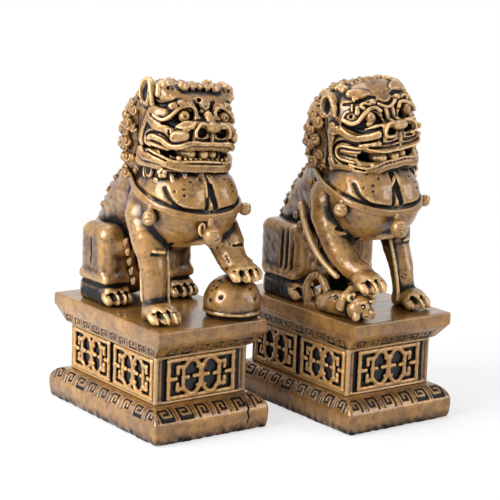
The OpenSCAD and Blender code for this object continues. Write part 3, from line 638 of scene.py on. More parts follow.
def male_head(clay, lion):
    in_head(clay, lion)
    clay.loaf((0, -3.5, 10.5), (20.6, 14.6, 11.0), 12.5, 5.0)
    clay.loaf((0, -4.6, -1.5), (21.8, 15.6, 9.5), 12.5, 3.0, 3)
    clay.loaf((0, -15.0, -3.4), (17.2, 12.2, 7.2), 9.5, 3.2, 3)
    clay.egg((0, -14.0, 14.2), (15.5, 7.0, 5.2), 4)
    clay.keep_face((0, -4, 0))
    clay.egg((0, -16, -12.0), (16.5, 12, 4.0), 0.8, cut=True)
    for _ in clay.both_sides():
        # Cheek, forehead and brow in broad forms
        clay.band([(84, 2.4, 2.2), (72, 0.2, 2.5), (62, -1.0, 2.5), (52, -2.4, 1.8)], 2, 1.1, edge=1.6,
                  blend=1.0)
        clay.band([(83, 7.6, 2.0), (74, 6.4, 2.2), (62, 6.2, 2.0)], 2, 0.9, edge=1.2, blend=1.0)
        clay.band([(66, 14.6, 3.0), (44, 15.8, 3.2), (20, 15.4, 3.0)], 3, 1.0, edge=2.0, blend=1.5)
        clay.slot([(62, 1.4, 0.8), (54, 1.8, 1.4), (48, 2.6, 2.3), (42, 4.6, 3.0), (35, 5.6, 3.5),
                   (25, 5.4, 2.7)], 2, 3.6)
        clay.band([(53, 9.6)], 2.4, 1.9, edge=1.8)
        clay.band([(43, 12.0), (40, 11.6)], 1.8, 1.7, edge=1.4)
        clay.band([(33, 11.6), (28, 11.8)], 1.4, 1.5, edge=1.2)
        clay.band([(74, 4.6), (64, 2.9), (56, 3.9), (49, 6.5), (42, 9.2), (33, 10.6), (24, 10.0), (19, 6.7),
                   (20, 4.2)], 0.85, 1.6, edge=0.7)
        clay.band([(40, 0.4, 0.6), (34, -0.2, 1.1), (27, 0.8, 1.1), (23, 3.0, 0.6)], 1, 1.2, edge=0.8)
        clay.slot([(53, 0.4), (43, -0.8), (36, -0.6)], 0.55, 1.0)
        # Cheek ball and the side of the face
        clay.band([(43, -4.2, 3.0), (34, -3.2, 2.6)], 3, 2.1, edge=2.0)
        clay.slot([(51, -5.2, 0.7), (52, -1.8, 0.5)], 0.6, 1.2)
        clay.band([(84, 6.4), (90, 2.0), (96, -2.6), (98, -7.0), (98, -9.6)], 1.3, 1.0)
        # Upper lip, the fold inside the corner of the mouth, and the grooves round them
        clay.band([(81, -6.6, 1.0), (74, -5.6, 1.3), (62, -6.6, 1.3), (55, -8.1, 1.3), (47, -8.9, 1.3),
                   (36, -8.3, 1.3), (29, -6.9, 1.3), (20, -6.2, 1.2), (9, -6.5, 1.1), (0, -6.2, 1.1)], 1,
                  1.35)
        clay.band([(82, -8.8, 0.7), (72, -9.3, 0.8), (60, -10.2, 0.9), (53, -10.8, 0.7)], 0.8, 0.8)
        clay.slot([(88, -7.6), (89, -6.0), (88, -4.9), (80, -3.7), (67, -3.1), (59, -3.9), (53, -5.7),
                   (48, -6.9), (40, -6.9)], 0.6, 1.5, edge=0.5)
        clay.slot([(88, -7.4), (86, -9.2), (82, -10.2)], 0.7, 1.5, edge=0.5)
        clay.slot([(76, -7.4), (62, -8.6), (54, -9.8)], 0.35, 0.9, edge=0.3)
        for i in range(7):
            clay.band([(5 + 6.2 * i, -8.6 - 0.06 * i * i)], 0.75, 0.35, edge=0.7)
        # Nose: knob on the bridge, wing and nostril
        clay.band([(15.5, 4.7)], 1.55, 1.5, edge=1.3)
        clay.egg((5.9, -28.0, -1.4), (3.4, 4.6, 2.6), 0.4, cut=True, turn=(0, -12, 0))
        clay.band([(7, 1.6), (13, 2.3), (19, 1.6), (22.5, -0.6), (22, -3.0)], 0.7, 2.1, edge=0.65)
        clay.slot([(26.5, -0.6), (26.5, -4.6)], 0.9, 2.0)
        clay.slot([(1.5, -4.4), (12, -4.9), (20, -4.6)], 0.5, 1.0)
        # Frown: thin ridge down to the bridge, and the slot beside it
        clay.band([(19, 12.2), (10, 11.5), (4, 10.2), (0, 9.6)], 0.55, 1.2, edge=0.5)
        clay.slot([(18, 11.6, 0.8), (12.5, 9.1, 1.2), (8, 6.7, 1.0)], 1, 2.4)
        clay.band([(6, 8.0), (0, 8.2)], 1.0, 1.0, edge=0.8)
        clay.slot([(6, 6.2), (0, 6.4)], 0.4, 1.0)
        # Dark hollow between the ear and the hair
        clay.slot([(86, 18.2), (80, 15.0)], 1.2, 1.8)
        clay.slot([(82, 10.6), (71, 9.6), (63, 9.9)], 0.8, 1.4)
        clay.slot([(60, 10.6), (40, 14.0), (22, 13.0)], 0.4, 0.5, edge=0.35)
    clay.rope([(0, -22.5, 6.4, 2.1), (0, -25.4, 3.4, 2.2)], 0.9)
    clay.band([(0, 4.4)], 2.2, 0.9, edge=0.9)
    clay.egg((0, -27.6, 1.3), (4.1, 3.2, 2.6), 0.5)
    clay.rope([(0, -27.4, -1.8, 1.0), (0, -27.8, -4.2, 0.8)], 0.5)
    # The wing on the ball's side flares further out
    clay.rope([(5.0, -28.0, 1.6, 0.8), (8.8, -27.6, 1.6, 0.9), (11.6, -25.6, 0.2, 1.3),
               (11.8, -24.6, -2.2, 1.6)], 0.4)
    clay.block((0, -19.6, 25.4), (26, 12, 10), 3, 3, cut=True, turn=(39, 0, 0))
    clay.block((0, -2, 29.4), (26, 24, 10), 3, 3, cut=True)
    clay.keep_face((0, -4, 0))
    clay.slot([(-10.5, 13.6)], 1.15, 2.6)
    clay.egg((0, -6, -10.8), (17, 7, 4), 0.5)
    for _ in clay.both_sides():
        for turn, height, size in ((47, 18.0, 2.9), (70, 18.4, 2.7), (26, 18.2, 2.5), (118, 18.6, 2.8)):
            hair_knob(clay, turn, height, size)
        for turn in (8, 15, 34, 58, 64, 82):
            clay.slot([(turn, 17.4), (turn + 4, 19.8)], 0.6, 1.4)
    hair_knob(clay, 0, 18.4, 2.6)
    face_groove(clay)


def female_head(clay, lion):
    in_head(clay, lion)
    clay.egg((0, -3.5, 9.5), (20.8, 15.0, 13.0), 0)
    clay.loaf((0, -3.5, 6.0), (20.6, 14.6, 8.0), 12.5, 5.0, 3)
    clay.loaf((0, -4.4, -5.0), (21.8, 15.6, 14.0), 12.5, 3.0, 3)
    clay.loaf((0, -15.0, -3.4), (16.6, 12.4, 7.2), 9.5, 3.2, 3)
    clay.keep_face((0, -4, 0))
    clay.egg((0, -16, -12.6), (16.5, 12, 5.6), 0.8, cut=True)
    clay.block((0, -16, -19.5), (18, 16, 4.2), 3, 1, cut=True)
    for _ in clay.both_sides():
        clay.slot([(50, -12.0), (39, -12.8), (24, -12.8), (0, -13)], 3.0, 7.0, edge=1.8)
        # Forehead bulges with a hanging tip
        clay.band([(72, 17.6, 2.4), (57, 17.9, 3.3), (42, 17.8, 3.0)], 3, 2.3, edge=2.2)
        clay.band([(61, 15.6, 1.8), (61, 14.2, 1.1)], 1.5, 2.1, edge=1.2)
        clay.band([(26, 18.4, 1.6), (12, 18.2, 1.8), (0, 17.8, 1.6)], 1.6, 1.4, edge=1.3)
        clay.slot([(76, 13.6), (66, 13.9), (52, 14.6), (36, 16.0), (24, 15.6)], 0.8, 1.2)
        # Eye socket, with the scrolls and the rim of the brow round it
        clay.slot([(67, 3.6, 0.9), (56, 3.4, 1.7), (44, 5.0, 3.0), (34, 6.2, 3.5), (25, 5.0, 2.6)], 2, 3.4)
        clay.band([(72, 6.6), (61, 4.9), (53, 5.9), (47, 8.3), (38, 10.6), (28, 10.8), (21, 9.0)], 1.0, 1.9,
                  edge=0.9)
        clay.band([(31, 13.7)], 1.9, 1.9, edge=1.7)
        clay.band([(37, 12.7), (46, 13.3), (51, 12.4), (47, 11.2)], 0.75, 1.7, edge=0.65)
        clay.band([(56, 11.7, 1.1), (55, 9.4, 1.3)], 1.2, 1.7, edge=1.0)
        clay.band([(63, 13.0), (62, 10.4)], 0.6, 1.6, edge=0.5)
        clay.band([(73, 7.2), (70, 9.6), (66, 10.2)], 0.6, 1.4, edge=0.5)
        clay.slot([(63, 8.2)], 0.9, 2.2)
        clay.slot([(75, 4.2), (64, 2.4), (54, 0.7), (44, 0.8), (34, 1.6), (26, 2.6)], 1.1, 2.8, edge=0.8)
        # Side plate of the cheek with its pits, and the ribbon that flows from it to the nose
        clay.band([(92, 1.8, 3.0), (98, -2.5, 2.7), (102, -7, 2.1), (103, -12, 2.1), (100, -17.4, 2.8)],
                  2.2, 1.1)
        clay.band([(92, 0.6, 2.4), (78, 1.4, 2.0), (69, -0.6, 1.8), (59, -2.4, 1.7), (49, -2.4, 1.7),
                   (38, -1.4, 1.7), (29, -0.4, 1.6)], 1.7, 1.8, edge=0.8)
        for turn, height in ((78, 2.6), (82, -1.6), (90, 0.6)):
            clay.slot([(turn, height)], 0.55, 0.6, root=2.5)
        clay.band([(52, -6.2, 0.8), (40, -5.6, 1.0), (29, -4.9, 0.9)], 0.9, 1.4)
        clay.slot([(50, -4.5), (38, -3.7), (29, -3.0)], 0.45, 1.0)
        # Lip: a thin loop round the corner of the mouth, with a groove outside it
        clay.band([(0, -9.6), (12, -9.4), (22, -9.3), (35, -8.2), (45, -7.2), (55, -7.6), (66, -6.9),
                   (79, -6.6), (87, -8.4), (89, -10.9), (84, -12.8), (72, -13.8), (62, -14.6)], 0.65, 1.2,
                  edge=0.5)
        clay.slot([(59, -5.9), (68, -4.6), (79, -4.5), (91, -6.4), (96, -9.7), (93, -13.1), (83, -15.1),
                   (67, -15.8)], 0.75, 1.7, edge=0.5)
        clay.band([(80, -9.0), (64, -9.4), (54, -9.6)], 0.6, 0.7)
        clay.slot([(82, -10.8), (66, -11.8), (55, -12.6)], 0.5, 1.0)
        clay.slot([(4, -5.4), (15, -5.9), (26, -5.6)], 0.8, 1.5)
        clay.slot([(3, -7.7), (14, -7.9), (28, -7.4), (40, -6.9)], 0.7, 1.4)
        # Nose
        clay.egg((5.2, -27.8, -0.3), (3.0, 4.4, 2.1), 0.4, cut=True, turn=(0, -10, 0))
        clay.band([(6, 2.4), (12, 3.0), (19, 2.4), (22.5, 0.4), (21, -1.9), (14, -2.4)], 0.75, 2.0,
                  edge=0.65)
        clay.slot([(10, -3.6), (18, -3.8)], 0.7, 1.6)
        clay.slot([(26, 1.6), (26.5, -4.4)], 0.8, 1.8)
        clay.band([(8, 9.4, 1.2), (7, 6.0, 1.2), (6, 3.4, 1.0)], 1.2, 1.2, edge=1.0)
        clay.band([(21, 12.4), (13, 11.2), (6, 10.4), (0, 10.0)], 0.8, 1.6, edge=0.7)
        clay.band([(16, 14.9), (8, 13.6), (0, 13.2)], 0.6, 1.3, edge=0.5)
        clay.slot([(18, 13.6), (9, 12.1), (0, 11.6)], 0.5, 1.2)
        clay.slot([(15, 9.6), (13, 5.6)], 0.9, 1.8)
    clay.egg((0, -27.2, 2.2), (4.4, 3.4, 2.4), 0.6)
    clay.rope([(0, -27.2, -2.0, 1.0), (0, -27.4, -5.2, 0.9)], 0.5)
    clay.block((0, -19.6, 26.6), (26, 12, 10), 3, 3, cut=True, turn=(36, 0, 0))
    clay.keep_face((0, -4, 0))
    for _ in clay.both_sides():
        for turn, height, size in ((115, 19.2, 2.8), (92, 19.0, 2.4)):
            hair_knob(clay, turn, height, size, 4)
    face_groove(clay)
    clay.egg((0, -6, -12), (17, 7, 5), 0.5)


def face_groove(clay):
    """Deep groove that parts the face from the mane, from the ear down to the jowl."""
    for _ in clay.both_sides():
        clay.dig([(22.4, 3.0, 9.5, 1.0), (22.8, 3.2, 4, 1.9), (22.6, 3.4, -3, 2.2), (22.0, 3.5, -10, 2.2),
                  (21.2, 4.2, -17, 2.1), (20.2, 4.5, -23, 2.0)], 0.6)


def hair_knob(clay, turn, height, size, lobes=5):
    """Knob of hair like a small flower: lobes round a drilled middle."""
    place, out = (v[0] for v in clay.press([turn], [height])[:2])
    across = np.cross(out, [0, 0, 1])
    across /= np.linalg.norm(across)
    up = np.cross(across, out)
    clay.sweep(place[None], np.array([size]), 0.8, False)
    for t in np.arange(lobes) / lobes * 2 * math.pi + 0.4 * turn:
        lobe = place + out * 0.45 * size + (across * math.cos(t) + up * math.sin(t)) * 0.6 * size
        clay.sweep(lobe[None], np.array([0.5 * size]), 0.25, False)
    clay.sweep((place + out * 1.1 * size)[None], np.array([0.30 * size]), 0.2, True)


def jaw(clay, lion):
    in_head(clay, lion, lion.jaw_drop)
    male = lion.sex == "male"
    if male:
        clay.loaf((0, -5.2, -16.2), (21.6, 17.6, 4.8), 13.5, 2.2, 1)
    else:
        clay.loaf((0, -4.8, -16.6), (21.4, 17.4, 4.2), 13.5, 2.2, 1)
    clay.keep_face((0, -4, 0))
    clay.egg((0, -15.5, -11.4), (16.0, 8.5, 4.6), 0.8, cut=True)
    clay.slot([(-62, -11.4), (-40, -11.6), (0, -11.4), (40, -11.6), (62, -11.4)], 2.6, 5.0, edge=1.5)
    for _ in clay.both_sides():
        if male:
            clay.band([(99, -12.8, 1.7), (91, -15.4, 1.9), (76, -15.6, 1.9), (62, -16.0, 1.9),
                       (50, -17.4, 2.0), (38, -18.4, 2.0), (20, -18.6, 2.0), (0, -18.6, 2.0)], 2, 1.1,
                      edge=0.9)
            clay.band([(80, -12.4), (70, -13.0), (60, -14.0), (50, -15.2), (40, -16.0), (26, -15.6),
                       (10, -15.4), (0, -15.4)], 0.6, 1.3, edge=0.5)
            clay.slot([(84, -12.6), (76, -13.4), (62, -14.6), (52, -15.9)], 0.5, 1.2, edge=0.4)
            clay.slot([(56, -19.8), (40, -20.6), (20, -20.6), (0, -20.6)], 0.4, 0.8)
        else:
            clay.band([(104, -17.0, 1.7), (89, -15.6, 1.5), (68, -15.4, 1.5), (50, -17.2, 1.7),
                       (39, -17.8, 1.9), (20, -16.4, 1.7), (0, -16.4, 1.7)], 1.6, 1.1, edge=0.8)
            clay.band([(68, -13.6), (50, -15.2), (39, -15.2), (20, -13.8), (0, -14.0)], 0.55, 1.2, edge=0.5)
            clay.slot([(60, -15.2), (48, -16.4)], 0.4, 1.0)
        for i in range(5):
            clay.band([(7 + 7.5 * i, -14.4)], 0.7, 0.5, edge=0.6)
        clay.band([(38, -14.2)], 1.1, 0.9, edge=1.0)
    face_groove(clay)


def jowls(clay, lion):
    """Beard: a disc of hair on each jowl, and tufts under the chin."""
    in_head(clay, lion, lion.jaw_drop)
    clay.loaf((0, -6, -22.4), (19.0, 14.0, 5.4), 10, 3, 1)
    clay.keep_face((0, -4, 0))
    for _ in clay.both_sides():
        ring = [(86 + 13 * math.cos(t), -22.6 + 4.3 * math.sin(t)) for t in np.linspace(0, 2 * math.pi, 11)]
        clay.slot(ring, 0.8, 1.9)
        clay.band([(86, -22.6)], 3.1, 0.7, edge=0.7)
        hair_knob(clay, 57, -22.0, 2.5)
        hair_knob(clay, 66, -26.0, 1.6)
        for i in range(6):
            clay.slot([(48 - 8 * i, -19.6), (44 - 8 * i, -26.5)], 0.5, 1.2)
    for tuft in ([(-1.6, -20.5, -20.4, 2.6), (-0.4, -23.8, -25.6, 2.2), (0.8, -26.4, -31.6, 0.7)],
                 [(-1.2, -22.4, -22.0, 1.8), (-6.2, -24.2, -26.6, 0.7)],
                 [(1.4, -22.6, -22.6, 1.5), (5.4, -24.6, -26.0, 0.6)],
                 [(-8.6, -19.6, -20.6, 1.9), (-9.4, -22.4, -25.4, 0.9)],
                 [(12.0, -18.4, -20.6, 2.0), (14.6, -20.8, -25.4, 1.5), (16.8, -21.6, -29.5, 0.7)],
                 [(7.4, -20.6, -20.8, 1.6), (8.6, -23.0, -25.0, 0.7)],
                 [(-14.4, -16.6, -20.6, 1.8), (-14.8, -19.8, -25.6, 1.0)]):
        clay.rope(tuft, 0.6)
    clay.dig([(-3.0, -25.0, -27.4, 1.0), (-1.6, -26.6, -32.0, 1.0)], 0.4)


def tongue(clay, lion):
    in_head(clay, lion, lion.jaw_drop)
    clay.rope([(0, -4, -12.4, 3.2), (0, -17, -12.6, 3.2), (0, -22.0, -12.0, 2.2)], 1)
    for _ in clay.both_sides():
        clay.rope([(6, -5, -12.6, 3.0), (7.2, -14, -12.6, 2.8), (6.0, -20.0, -12.2, 2.2)], 2)
    clay.dig([(0, -8, -9.6, 0.6), (0, -22.6, -9.9, 0.6)], 0.8)


def eyes(clay, lion):
    in_head(clay, lion)
    for _ in clay.both_sides():
        if lion.sex == "male":
            clay.rope([(11.2, -18.9, 5.3, 2.75)], 0.3)
            clay.dig([(11.9, -21.8, 5.3, 1.1)], 0.3)
        else:
            clay.egg((11.4, -18.8, 6.6), (2.4, 2.9, 3.2), 0.3, turn=(0, 12, 0))
            clay.rope([(12.8, -19.6, 4.0, 1.7)], 0.5)
            clay.dig([(11.0, -21.8, 5.2, 0.5), (13.6, -21.4, 5.4, 0.5)], 0.3)


def ears(clay, lion):
    in_head(clay, lion)
    for _ in clay.both_sides():
        if lion.sex == "male":
            clay.egg((20.8, -1.6, 14.2), (3.6, 6.2, 7.4), 0.8, turn=(0, 6, 0))
            clay.egg((24.2, -1.4, 15.2), (3.6, 3.6, 5.8), 0.4, cut=True, turn=(0, 6, 0))
            clay.rope([(21.8, -7.2, 9.6, 1.2), (22.4, -6.6, 14, 1.1), (22.0, -4.6, 19, 0.9)], 0.5)
            clay.rope([(20.8, -9.6, 18.4, 1.2), (21.2, -10.6, 14.4, 1.4)], 0.8)
        else:
            clay.egg((20.6, 0.8, 12.4), (3.4, 5.6, 7.2), 0.6, turn=(34, 4, 0))
            clay.rope([(20.8, 0.4, 15, 3.2), (19.6, 5.2, 18.6, 1.6)], 1.5)
            clay.rope([(20.8, -3.6, 9, 2.6), (21.2, -6.0, 7.2, 1.2)], 1.0)
            clay.egg((24.2, 0.6, 12.2), (3.6, 3.4, 6.4), 0.4, cut=True, turn=(34, 4, 0))
            clay.rope([(22.6, -5.6, 8.4, 1.0), (22.6, -5.4, 12.6, 1.5), (21.6, -1.2, 17.4, 1.2),
                       (19.6, 5.2, 19.4, 0.8)], 0.5)


def mane(clay, lion):
    """Mass of the mane behind the face, and the deep groove that parts them."""
    b = lion.set_back
    clay.place()
    clay.egg((0, -2.4 + b, 85.1), (20.4, 15.4, 26.0), 1)
    clay.loaf((0, -2.4 + b, 86), (19.8, 12.4, 19), 9, 8, 3)
    in_head(clay, lion)
    face_groove(clay)


def paw_rest(clay, lion):
    """What the raised paw holds: the ball, or the cub on its back."""
    clay.place()
    if lion.sex == "male":
        x, y, z = 20, -35.4, 6.9
        clay.egg((x, y, z), (14.3, 14.3, 14.0), 1)

        def around(out, height, radius):
            """Ring round the ball at a distance from its middle."""
            return [(x + out * math.cos(t), y + out * math.sin(t), height, radius)
                    for t in np.linspace(0, 2 * math.pi, 25)]

        clay.rope(around(13.5, 3.2, 0.95), 0.6)
        clay.dig(around(14.2, 1.2, 1.0), 0.5)
        rng = np.random.default_rng(4)
        for _ in range(26):
            a, b = rng.uniform(0, 2 * math.pi), rng.uniform(0.1, 1.0)
            size = rng.uniform(0.4, 1.0)
            high = 14.4 * math.sin(b)
            near, far = 14.6 * math.cos(b), 14.7 * math.cos(b)
            clay.dig([(x + near * math.cos(a), y + near * math.sin(a), z + high, size),
                      (x + far * math.cos(a + 0.1), y + far * math.sin(a + 0.1), z + 0.7 + high,
                       size * 0.7)], 1.0)
        clay.floor()
        return
    clay.rope([(22.6, -17, 4.2, 5.8), (23, -26, 5.6, 6.6), (23, -34, 6, 6.0)], 2)
    # Head with round ears, brow, snout, and drilled eyes
    clay.egg((23, -42, 6.4), (6.8, 5.6, 6.4), 1)
    clay.egg((21.8, -46.8, 4.4), (3.4, 2.2, 2.6), 0.8)
    clay.rope([(21.5, -48.8, 5.8, 1.0)], 0.4)
    for s in (-1, 1):
        clay.rope([(22.8 + 5.2 * s, -40.4, 12.0, 2.2)], 0.6)
        clay.dig([(22.8 + 5.4 * s, -42.4, 12.3, 1.2)], 0.3)
        clay.dig([(22.2 + 2.7 * s, -47.0, 8.4, 1.2)], 0.3)
        clay.rope([(22.2 + 2.7 * s, -46.6, 8.3, 0.7)], 0.2)
        clay.rope([(22.2 + 4.8 * s, -45.6, 10.2, 0.8), (22.2 + 1.4 * s, -47.2, 10.8, 0.7)], 0.4)
        clay.dig([(21.6 + 1.0 * s, -48.9, 3.2, 0.6), (21.6 + 2.8 * s, -47.9, 3.6, 0.5)], 0.3)
        clay.egg((22.4 + 5.0 * s, -44.8, 3.6), (2.0, 2.2, 2.6), 0.6)
        clay.dig([(22.4 + 3.4 * s, -47.2, 6.0, 0.4), (22.4 + 3.8 * s, -46.6, 2.4, 0.5)], 0.3)
    # Forelegs clasp the paw, and a hind leg arches over behind it
    clay.rope([(28.6, -35, 7, 2.8), (28.4, -37, 12, 2.2), (24.4, -36.4, 15, 1.8)], 0.8)
    clay.rope([(17.6, -34, 7, 2.6), (15.4, -38, 9.6, 2.1), (14.8, -41.5, 12, 1.9)], 0.8)
    for x, y, z, r in ((28.5, -39.6, 11.6, 1.2), (26.4, -40.8, 13.4, 1.1), (17, -41.4, 12.4, 1.1)):
        clay.rope([(x, y, z, r)], 0.4)
    clay.rope([(25.4, -4.6, 1.2, 1.9), (26.0, -3.6, 9.4, 1.9), (25.2, -5.4, 14.6, 1.9),
               (24.6, -10.4, 17.0, 1.9), (24.0, -15.6, 13.4, 1.9), (24.2, -19, 7, 1.9)], 0.6)
    clay.rope([(25.4, -5, 1.2, 2.2), (24.8, -12, 1.2, 2.4), (24.4, -20, 2.6, 2.6)], 0.8)
    clay.rope([(25.8, -12.6, 3.4, 1.0), (25.0, -13.6, 10.5, 1.0)], 0.5)
    rng = np.random.default_rng(8)
    for i in range(22):
        y, a = -17 - 0.95 * i, rng.uniform(0.2, 2.2)
        x, z = 23 + 6.6 * math.cos(a), 5.6 + 6.6 * math.sin(a)
        clay.dig([(x, y, z, 0.5), (x - 1.6 * math.sin(a), y - 0.8, z + 1.6 * math.cos(a), 0.7)], 0.4)
    clay.floor()


def pendants(clay, lion):
    """Three bells on the strap: a knotted one, a large pear, and a round one."""
    clay.place()
    count = len(lion.strap)

    def hang(turn, out, down):
        """Place under the strap at a turn from its lowest point, in degrees."""
        i = int(round(turn / 360 * count)) % count
        return lion.strap[i] + out * lion.strap_out[i] - [0, 0, down], lion.strap_out[i]

    def pear(turn, top, size, length, round_bell=False):
        knot, _ = hang(turn, 1.2, 1.2)
        low, out = hang(turn, 2.2 + 0.35 * size, top + length)
        side = np.array([-out[1], out[0], 0])
        clay.rope([(*knot, 1.3), (*(0.5 * knot + 0.5 * low), 1.1 if round_bell else 0.55 * size),
                   (*low, size * 0.9)], 0.8)
        clay.egg(low, (size, size, size * (1.0 if round_bell else 1.12)), 0.6)
        front = low + out * size * 0.98
        clay.dig([(*(front - side * 0.5 * size - [0, 0, 0.3 * size]), 0.5),
                  (*(front + side * 0.5 * size), 0.55)], 0.3)
        clay.dig([(*(front + side * 0.3 * size + [0, 0, 0.5 * size]), 0.5)], 0.3)
        clay.rope([(*(low + [0, 0, size * 0.75] - side * size * 0.5 + out * 0.5 * size), 0.3),
                   (*(low + [0, 0, size * 0.8] + out * 0.8 * size), 0.35),
                   (*(low + [0, 0, size * 0.75] + side * size * 0.5 + out * 0.5 * size), 0.3)], 0.3)
        return knot, side, out

    if lion.sex == "male":
        pear(-64, 2.0, 3.4, 4.4)
        knot, side, out = pear(-4, 2.2, 4.6, 6.6)
        ring = [knot + side * (-4.6 + 1.5 * math.cos(t)) + out * 0.6 + [0, 0, -4.0 + 2.8 * math.sin(t)]
                for t in np.linspace(0, 2 * math.pi, 9)]
        clay.rope([(*p, 0.6) for p in ring], 0.4)
        pear(52, 0.6, 3.2, 2.2, True)
    else:
        pear(66, 1.6, 3.4, 3.0, True)
        pear(6, 2.0, 4.3, 5.2)
        pear(-56, -0.4, 2.8, 2.0)


def press_strap(clay, lion, points=84):
    """Middle line of the strap: a tilted oval pressed onto the neck, with the way out at each point."""
    t = np.arange(points) / points * 2 * math.pi
    path = np.column_stack([24.2 * np.sin(t), -15 + lion.set_back * (1 + np.cos(t)) / 2 - 29.2 * np.cos(t),
                            62.7 - 10.6 * np.cos(t)])
    out = path - [0, -12 + lion.set_back, 62.7]
    out[:, 2] = 0
    out /= np.linalg.norm(out, axis=1, keepdims=True)
    steps = np.arange(-7, 9, 0.25)
    probe = path[:, None, :] + out[:, None, :] * steps[None, :, None]
    inside = clay.at(probe.reshape(-1, 3)).reshape(points, -1) < 0
    last = inside.shape[1] - 1 - inside[:, ::-1].argmax(1)
    shift = np.where(inside.any(1), steps[last], 0.0)
    for _ in range(4):
        shift = np.maximum(shift, 0.5 * (np.roll(shift, 1) + np.roll(shift, -1)))
    for _ in range(6):
        shift = 0.5 * shift + 0.25 * (np.roll(shift, 1) + np.roll(shift, -1))
    return path + out * shift[:, None], out


# Materials

def add_node(tree, kind, settings, sockets):
    """Add a node to a tree: its settings first, then the values or links of its sockets."""
    node = tree.nodes.new(kind)
    for key, value in settings.items():
        setattr(node, key, value)
    for key, value in sockets.items():
        if isinstance(value, bpy.types.NodeSocket):
            tree.links.new(value, node.inputs[key])
        else:
            node.inputs[key].default_value = value
    return node


class Wire:
    """A value in a shader: arithmetic on it adds Math nodes."""

    def __init__(self, finish, socket):
        self.finish, self.socket = finish, socket

    def math(self, operation, *others):
        return self.finish.node("ShaderNodeMath", {"operation": operation}, [self, *others])

    def __add__(self, other):
        return self.math("ADD", other)

    def __mul__(self, other):
        return self.math("MULTIPLY", other)

    def __sub__(self, other):
        return self.math("SUBTRACT", other)

    def __rsub__(self, other):
        return (self * -1).math("ADD", other)

    __radd__ = __add__
    __rmul__ = __mul__

    def ease(self, low, high):
        """Smooth step from 0 at low to 1 at high."""
        settings = {"interpolation_type": "SMOOTHSTEP"}
        return self.finish.node("ShaderNodeMapRange", settings,
                                {"Value": self, "From Min": low, "From Max": high})


class Finish:
    """A material under construction."""

    def __init__(self, name):
        self.material = bpy.data.materials.new(name)
        self.material.use_nodes = True
        self.tree = self.material.node_tree
        self.tree.nodes.clear()
        self.coordinates = self.node("ShaderNodeTexCoord", {}, {}, "Object")

    def node(self, kind, settings, sockets, output=0):
        """Add a node and return one of its outputs. Sockets come by name, or in a list by order."""
        pairs = sockets.items() if isinstance(sockets, dict) else enumerate(sockets)
        plain = {key: value.socket if isinstance(value, Wire) else value for key, value in pairs}
        self.last = add_node(self.tree, kind, settings, plain)
        return Wire(self, self.last.outputs[output])

    def layer(self, name):
        """A value kept at the piece's points."""
        return self.node("ShaderNodeAttribute", {"attribute_name": name}, {}, "Fac")

    def noise(self, size, detail=4.0, rough=0.55, twist=0.0):
        """Noise with features of a size in millimetres."""
        return self.node("ShaderNodeTexNoise", {}, {
            "Vector": self.coordinates, "Scale": 1000.0 / size, "Detail": detail, "Roughness": rough,
            "Distortion": twist})

    def mix(self, share, a, b):
        return self.node("ShaderNodeMix", {"data_type": "RGBA"}, {0: share, 6: a, 7: b}, 2)

    def bump(self, height, depth):
        return self.node("ShaderNodeBump", {}, {"Strength": 1.0, "Distance": depth * MM, "Height": height})

    def surface(self, **sockets):
        fixed = {key.replace("_", " "): value for key, value in sockets.items()}
        self.node("ShaderNodeBsdfPrincipled", {}, fixed)
        return self.close()

    def close(self):
        """Send the last node to the material's output."""
        add_node(self.tree, "ShaderNodeOutputMaterial", {}, {0: self.last.outputs[0]})
        return self.material


def tone(red, green, blue):
    """Colour as it looks on a screen, from 0 to 255, as the linear colour that a shader takes."""
    def linear(v):
        v /= 255.0
        return v / 12.92 if v <= 0.04045 else ((v + 0.055) / 1.055) ** 2.4
    return (linear(red), linear(green), linear(blue), 1.0)


def antique(name, shade=0.0, streaks=0.0, pits=1.0, lift=1.0, uneven=0.7, deep=1.0,
            black=tone(11, 10, 9)):
    """Rubbed gold over a black ground under a gloss coat.

    Shade and streaks move the balance from gold to black, lift brightens the gold, uneven weighs the
    mottling, deep weighs the painted shade of sheltered places, and pits is the depth of the pitted
    surface.
    """
    finish = Finish(name)

    def rubbed(*colour):
        return tone(*(lift * v for v in colour))

    groove, hollow = finish.layer("groove"), finish.layer("hollow")
    broad = finish.noise(17, 3, 0.55)
    mottle = finish.noise(4.2, 5, 0.62, 0.6)
    speck = finish.noise(1.2, 3, 0.6)
    stain = (mottle - 0.5) * 0.75 + (broad - 0.5) * 0.5 + (speck - 0.5) * 0.35
    # Black and brown gather where the groove holds patina, in the painted shade of sheltered places, and in
    # random stains.
    recess = groove * 1.5 + hollow * 1.6 * deep + stain * uneven
    dark = recess.ease(-0.04 - shade, 0.26 - shade)
    brown = recess.ease(-0.36 - shade, 0.06 - shade)
    # Rubbed gold on ridges and edges, where the black is worn off; it also serves as a painted highlight
    # along edges.
    worn = (groove * -1.0 + (speck - 0.5) * 0.35 + (broad - 0.5) * 0.3).ease(0.10, 0.55)
    gold = finish.mix(broad.ease(0.35, 0.65), rubbed(165, 120, 60), rubbed(143, 105, 58))
    gold = finish.mix(mottle.ease(0.42, 0.75) * uneven, gold, rubbed(112, 76, 35))
    gold = finish.mix(worn, gold, rubbed(214, 174, 118))
    colour = finish.mix(brown, gold, rubbed(84, 54, 23))
    blotch = finish.noise(2.6, 4, 0.65, 1.0).ease(0.56 - streaks, 0.66 - streaks)
    colour = finish.mix(blotch * 0.9 * uneven, colour, tone(34, 25, 16))
    colour = finish.mix(dark, colour, black)
    pit = speck.ease(0.60, 0.68) * -0.5 + finish.noise(0.7, 2, 0.5) * 0.35
    pit = pit + mottle * 1.5 + finish.noise(7, 2, 0.5) * 2.0
    normal = finish.bump(pit, 0.2 * pits)
    return finish.surface(
        Base_Color=colour, Metallic=0.32 + dark * -0.32, Roughness=0.32 + mottle * 0.12, IOR=1.25,
        Coat_Weight=0.9 + dark * -0.85, Coat_Roughness=0.17, Coat_IOR=1.5, Normal=normal)


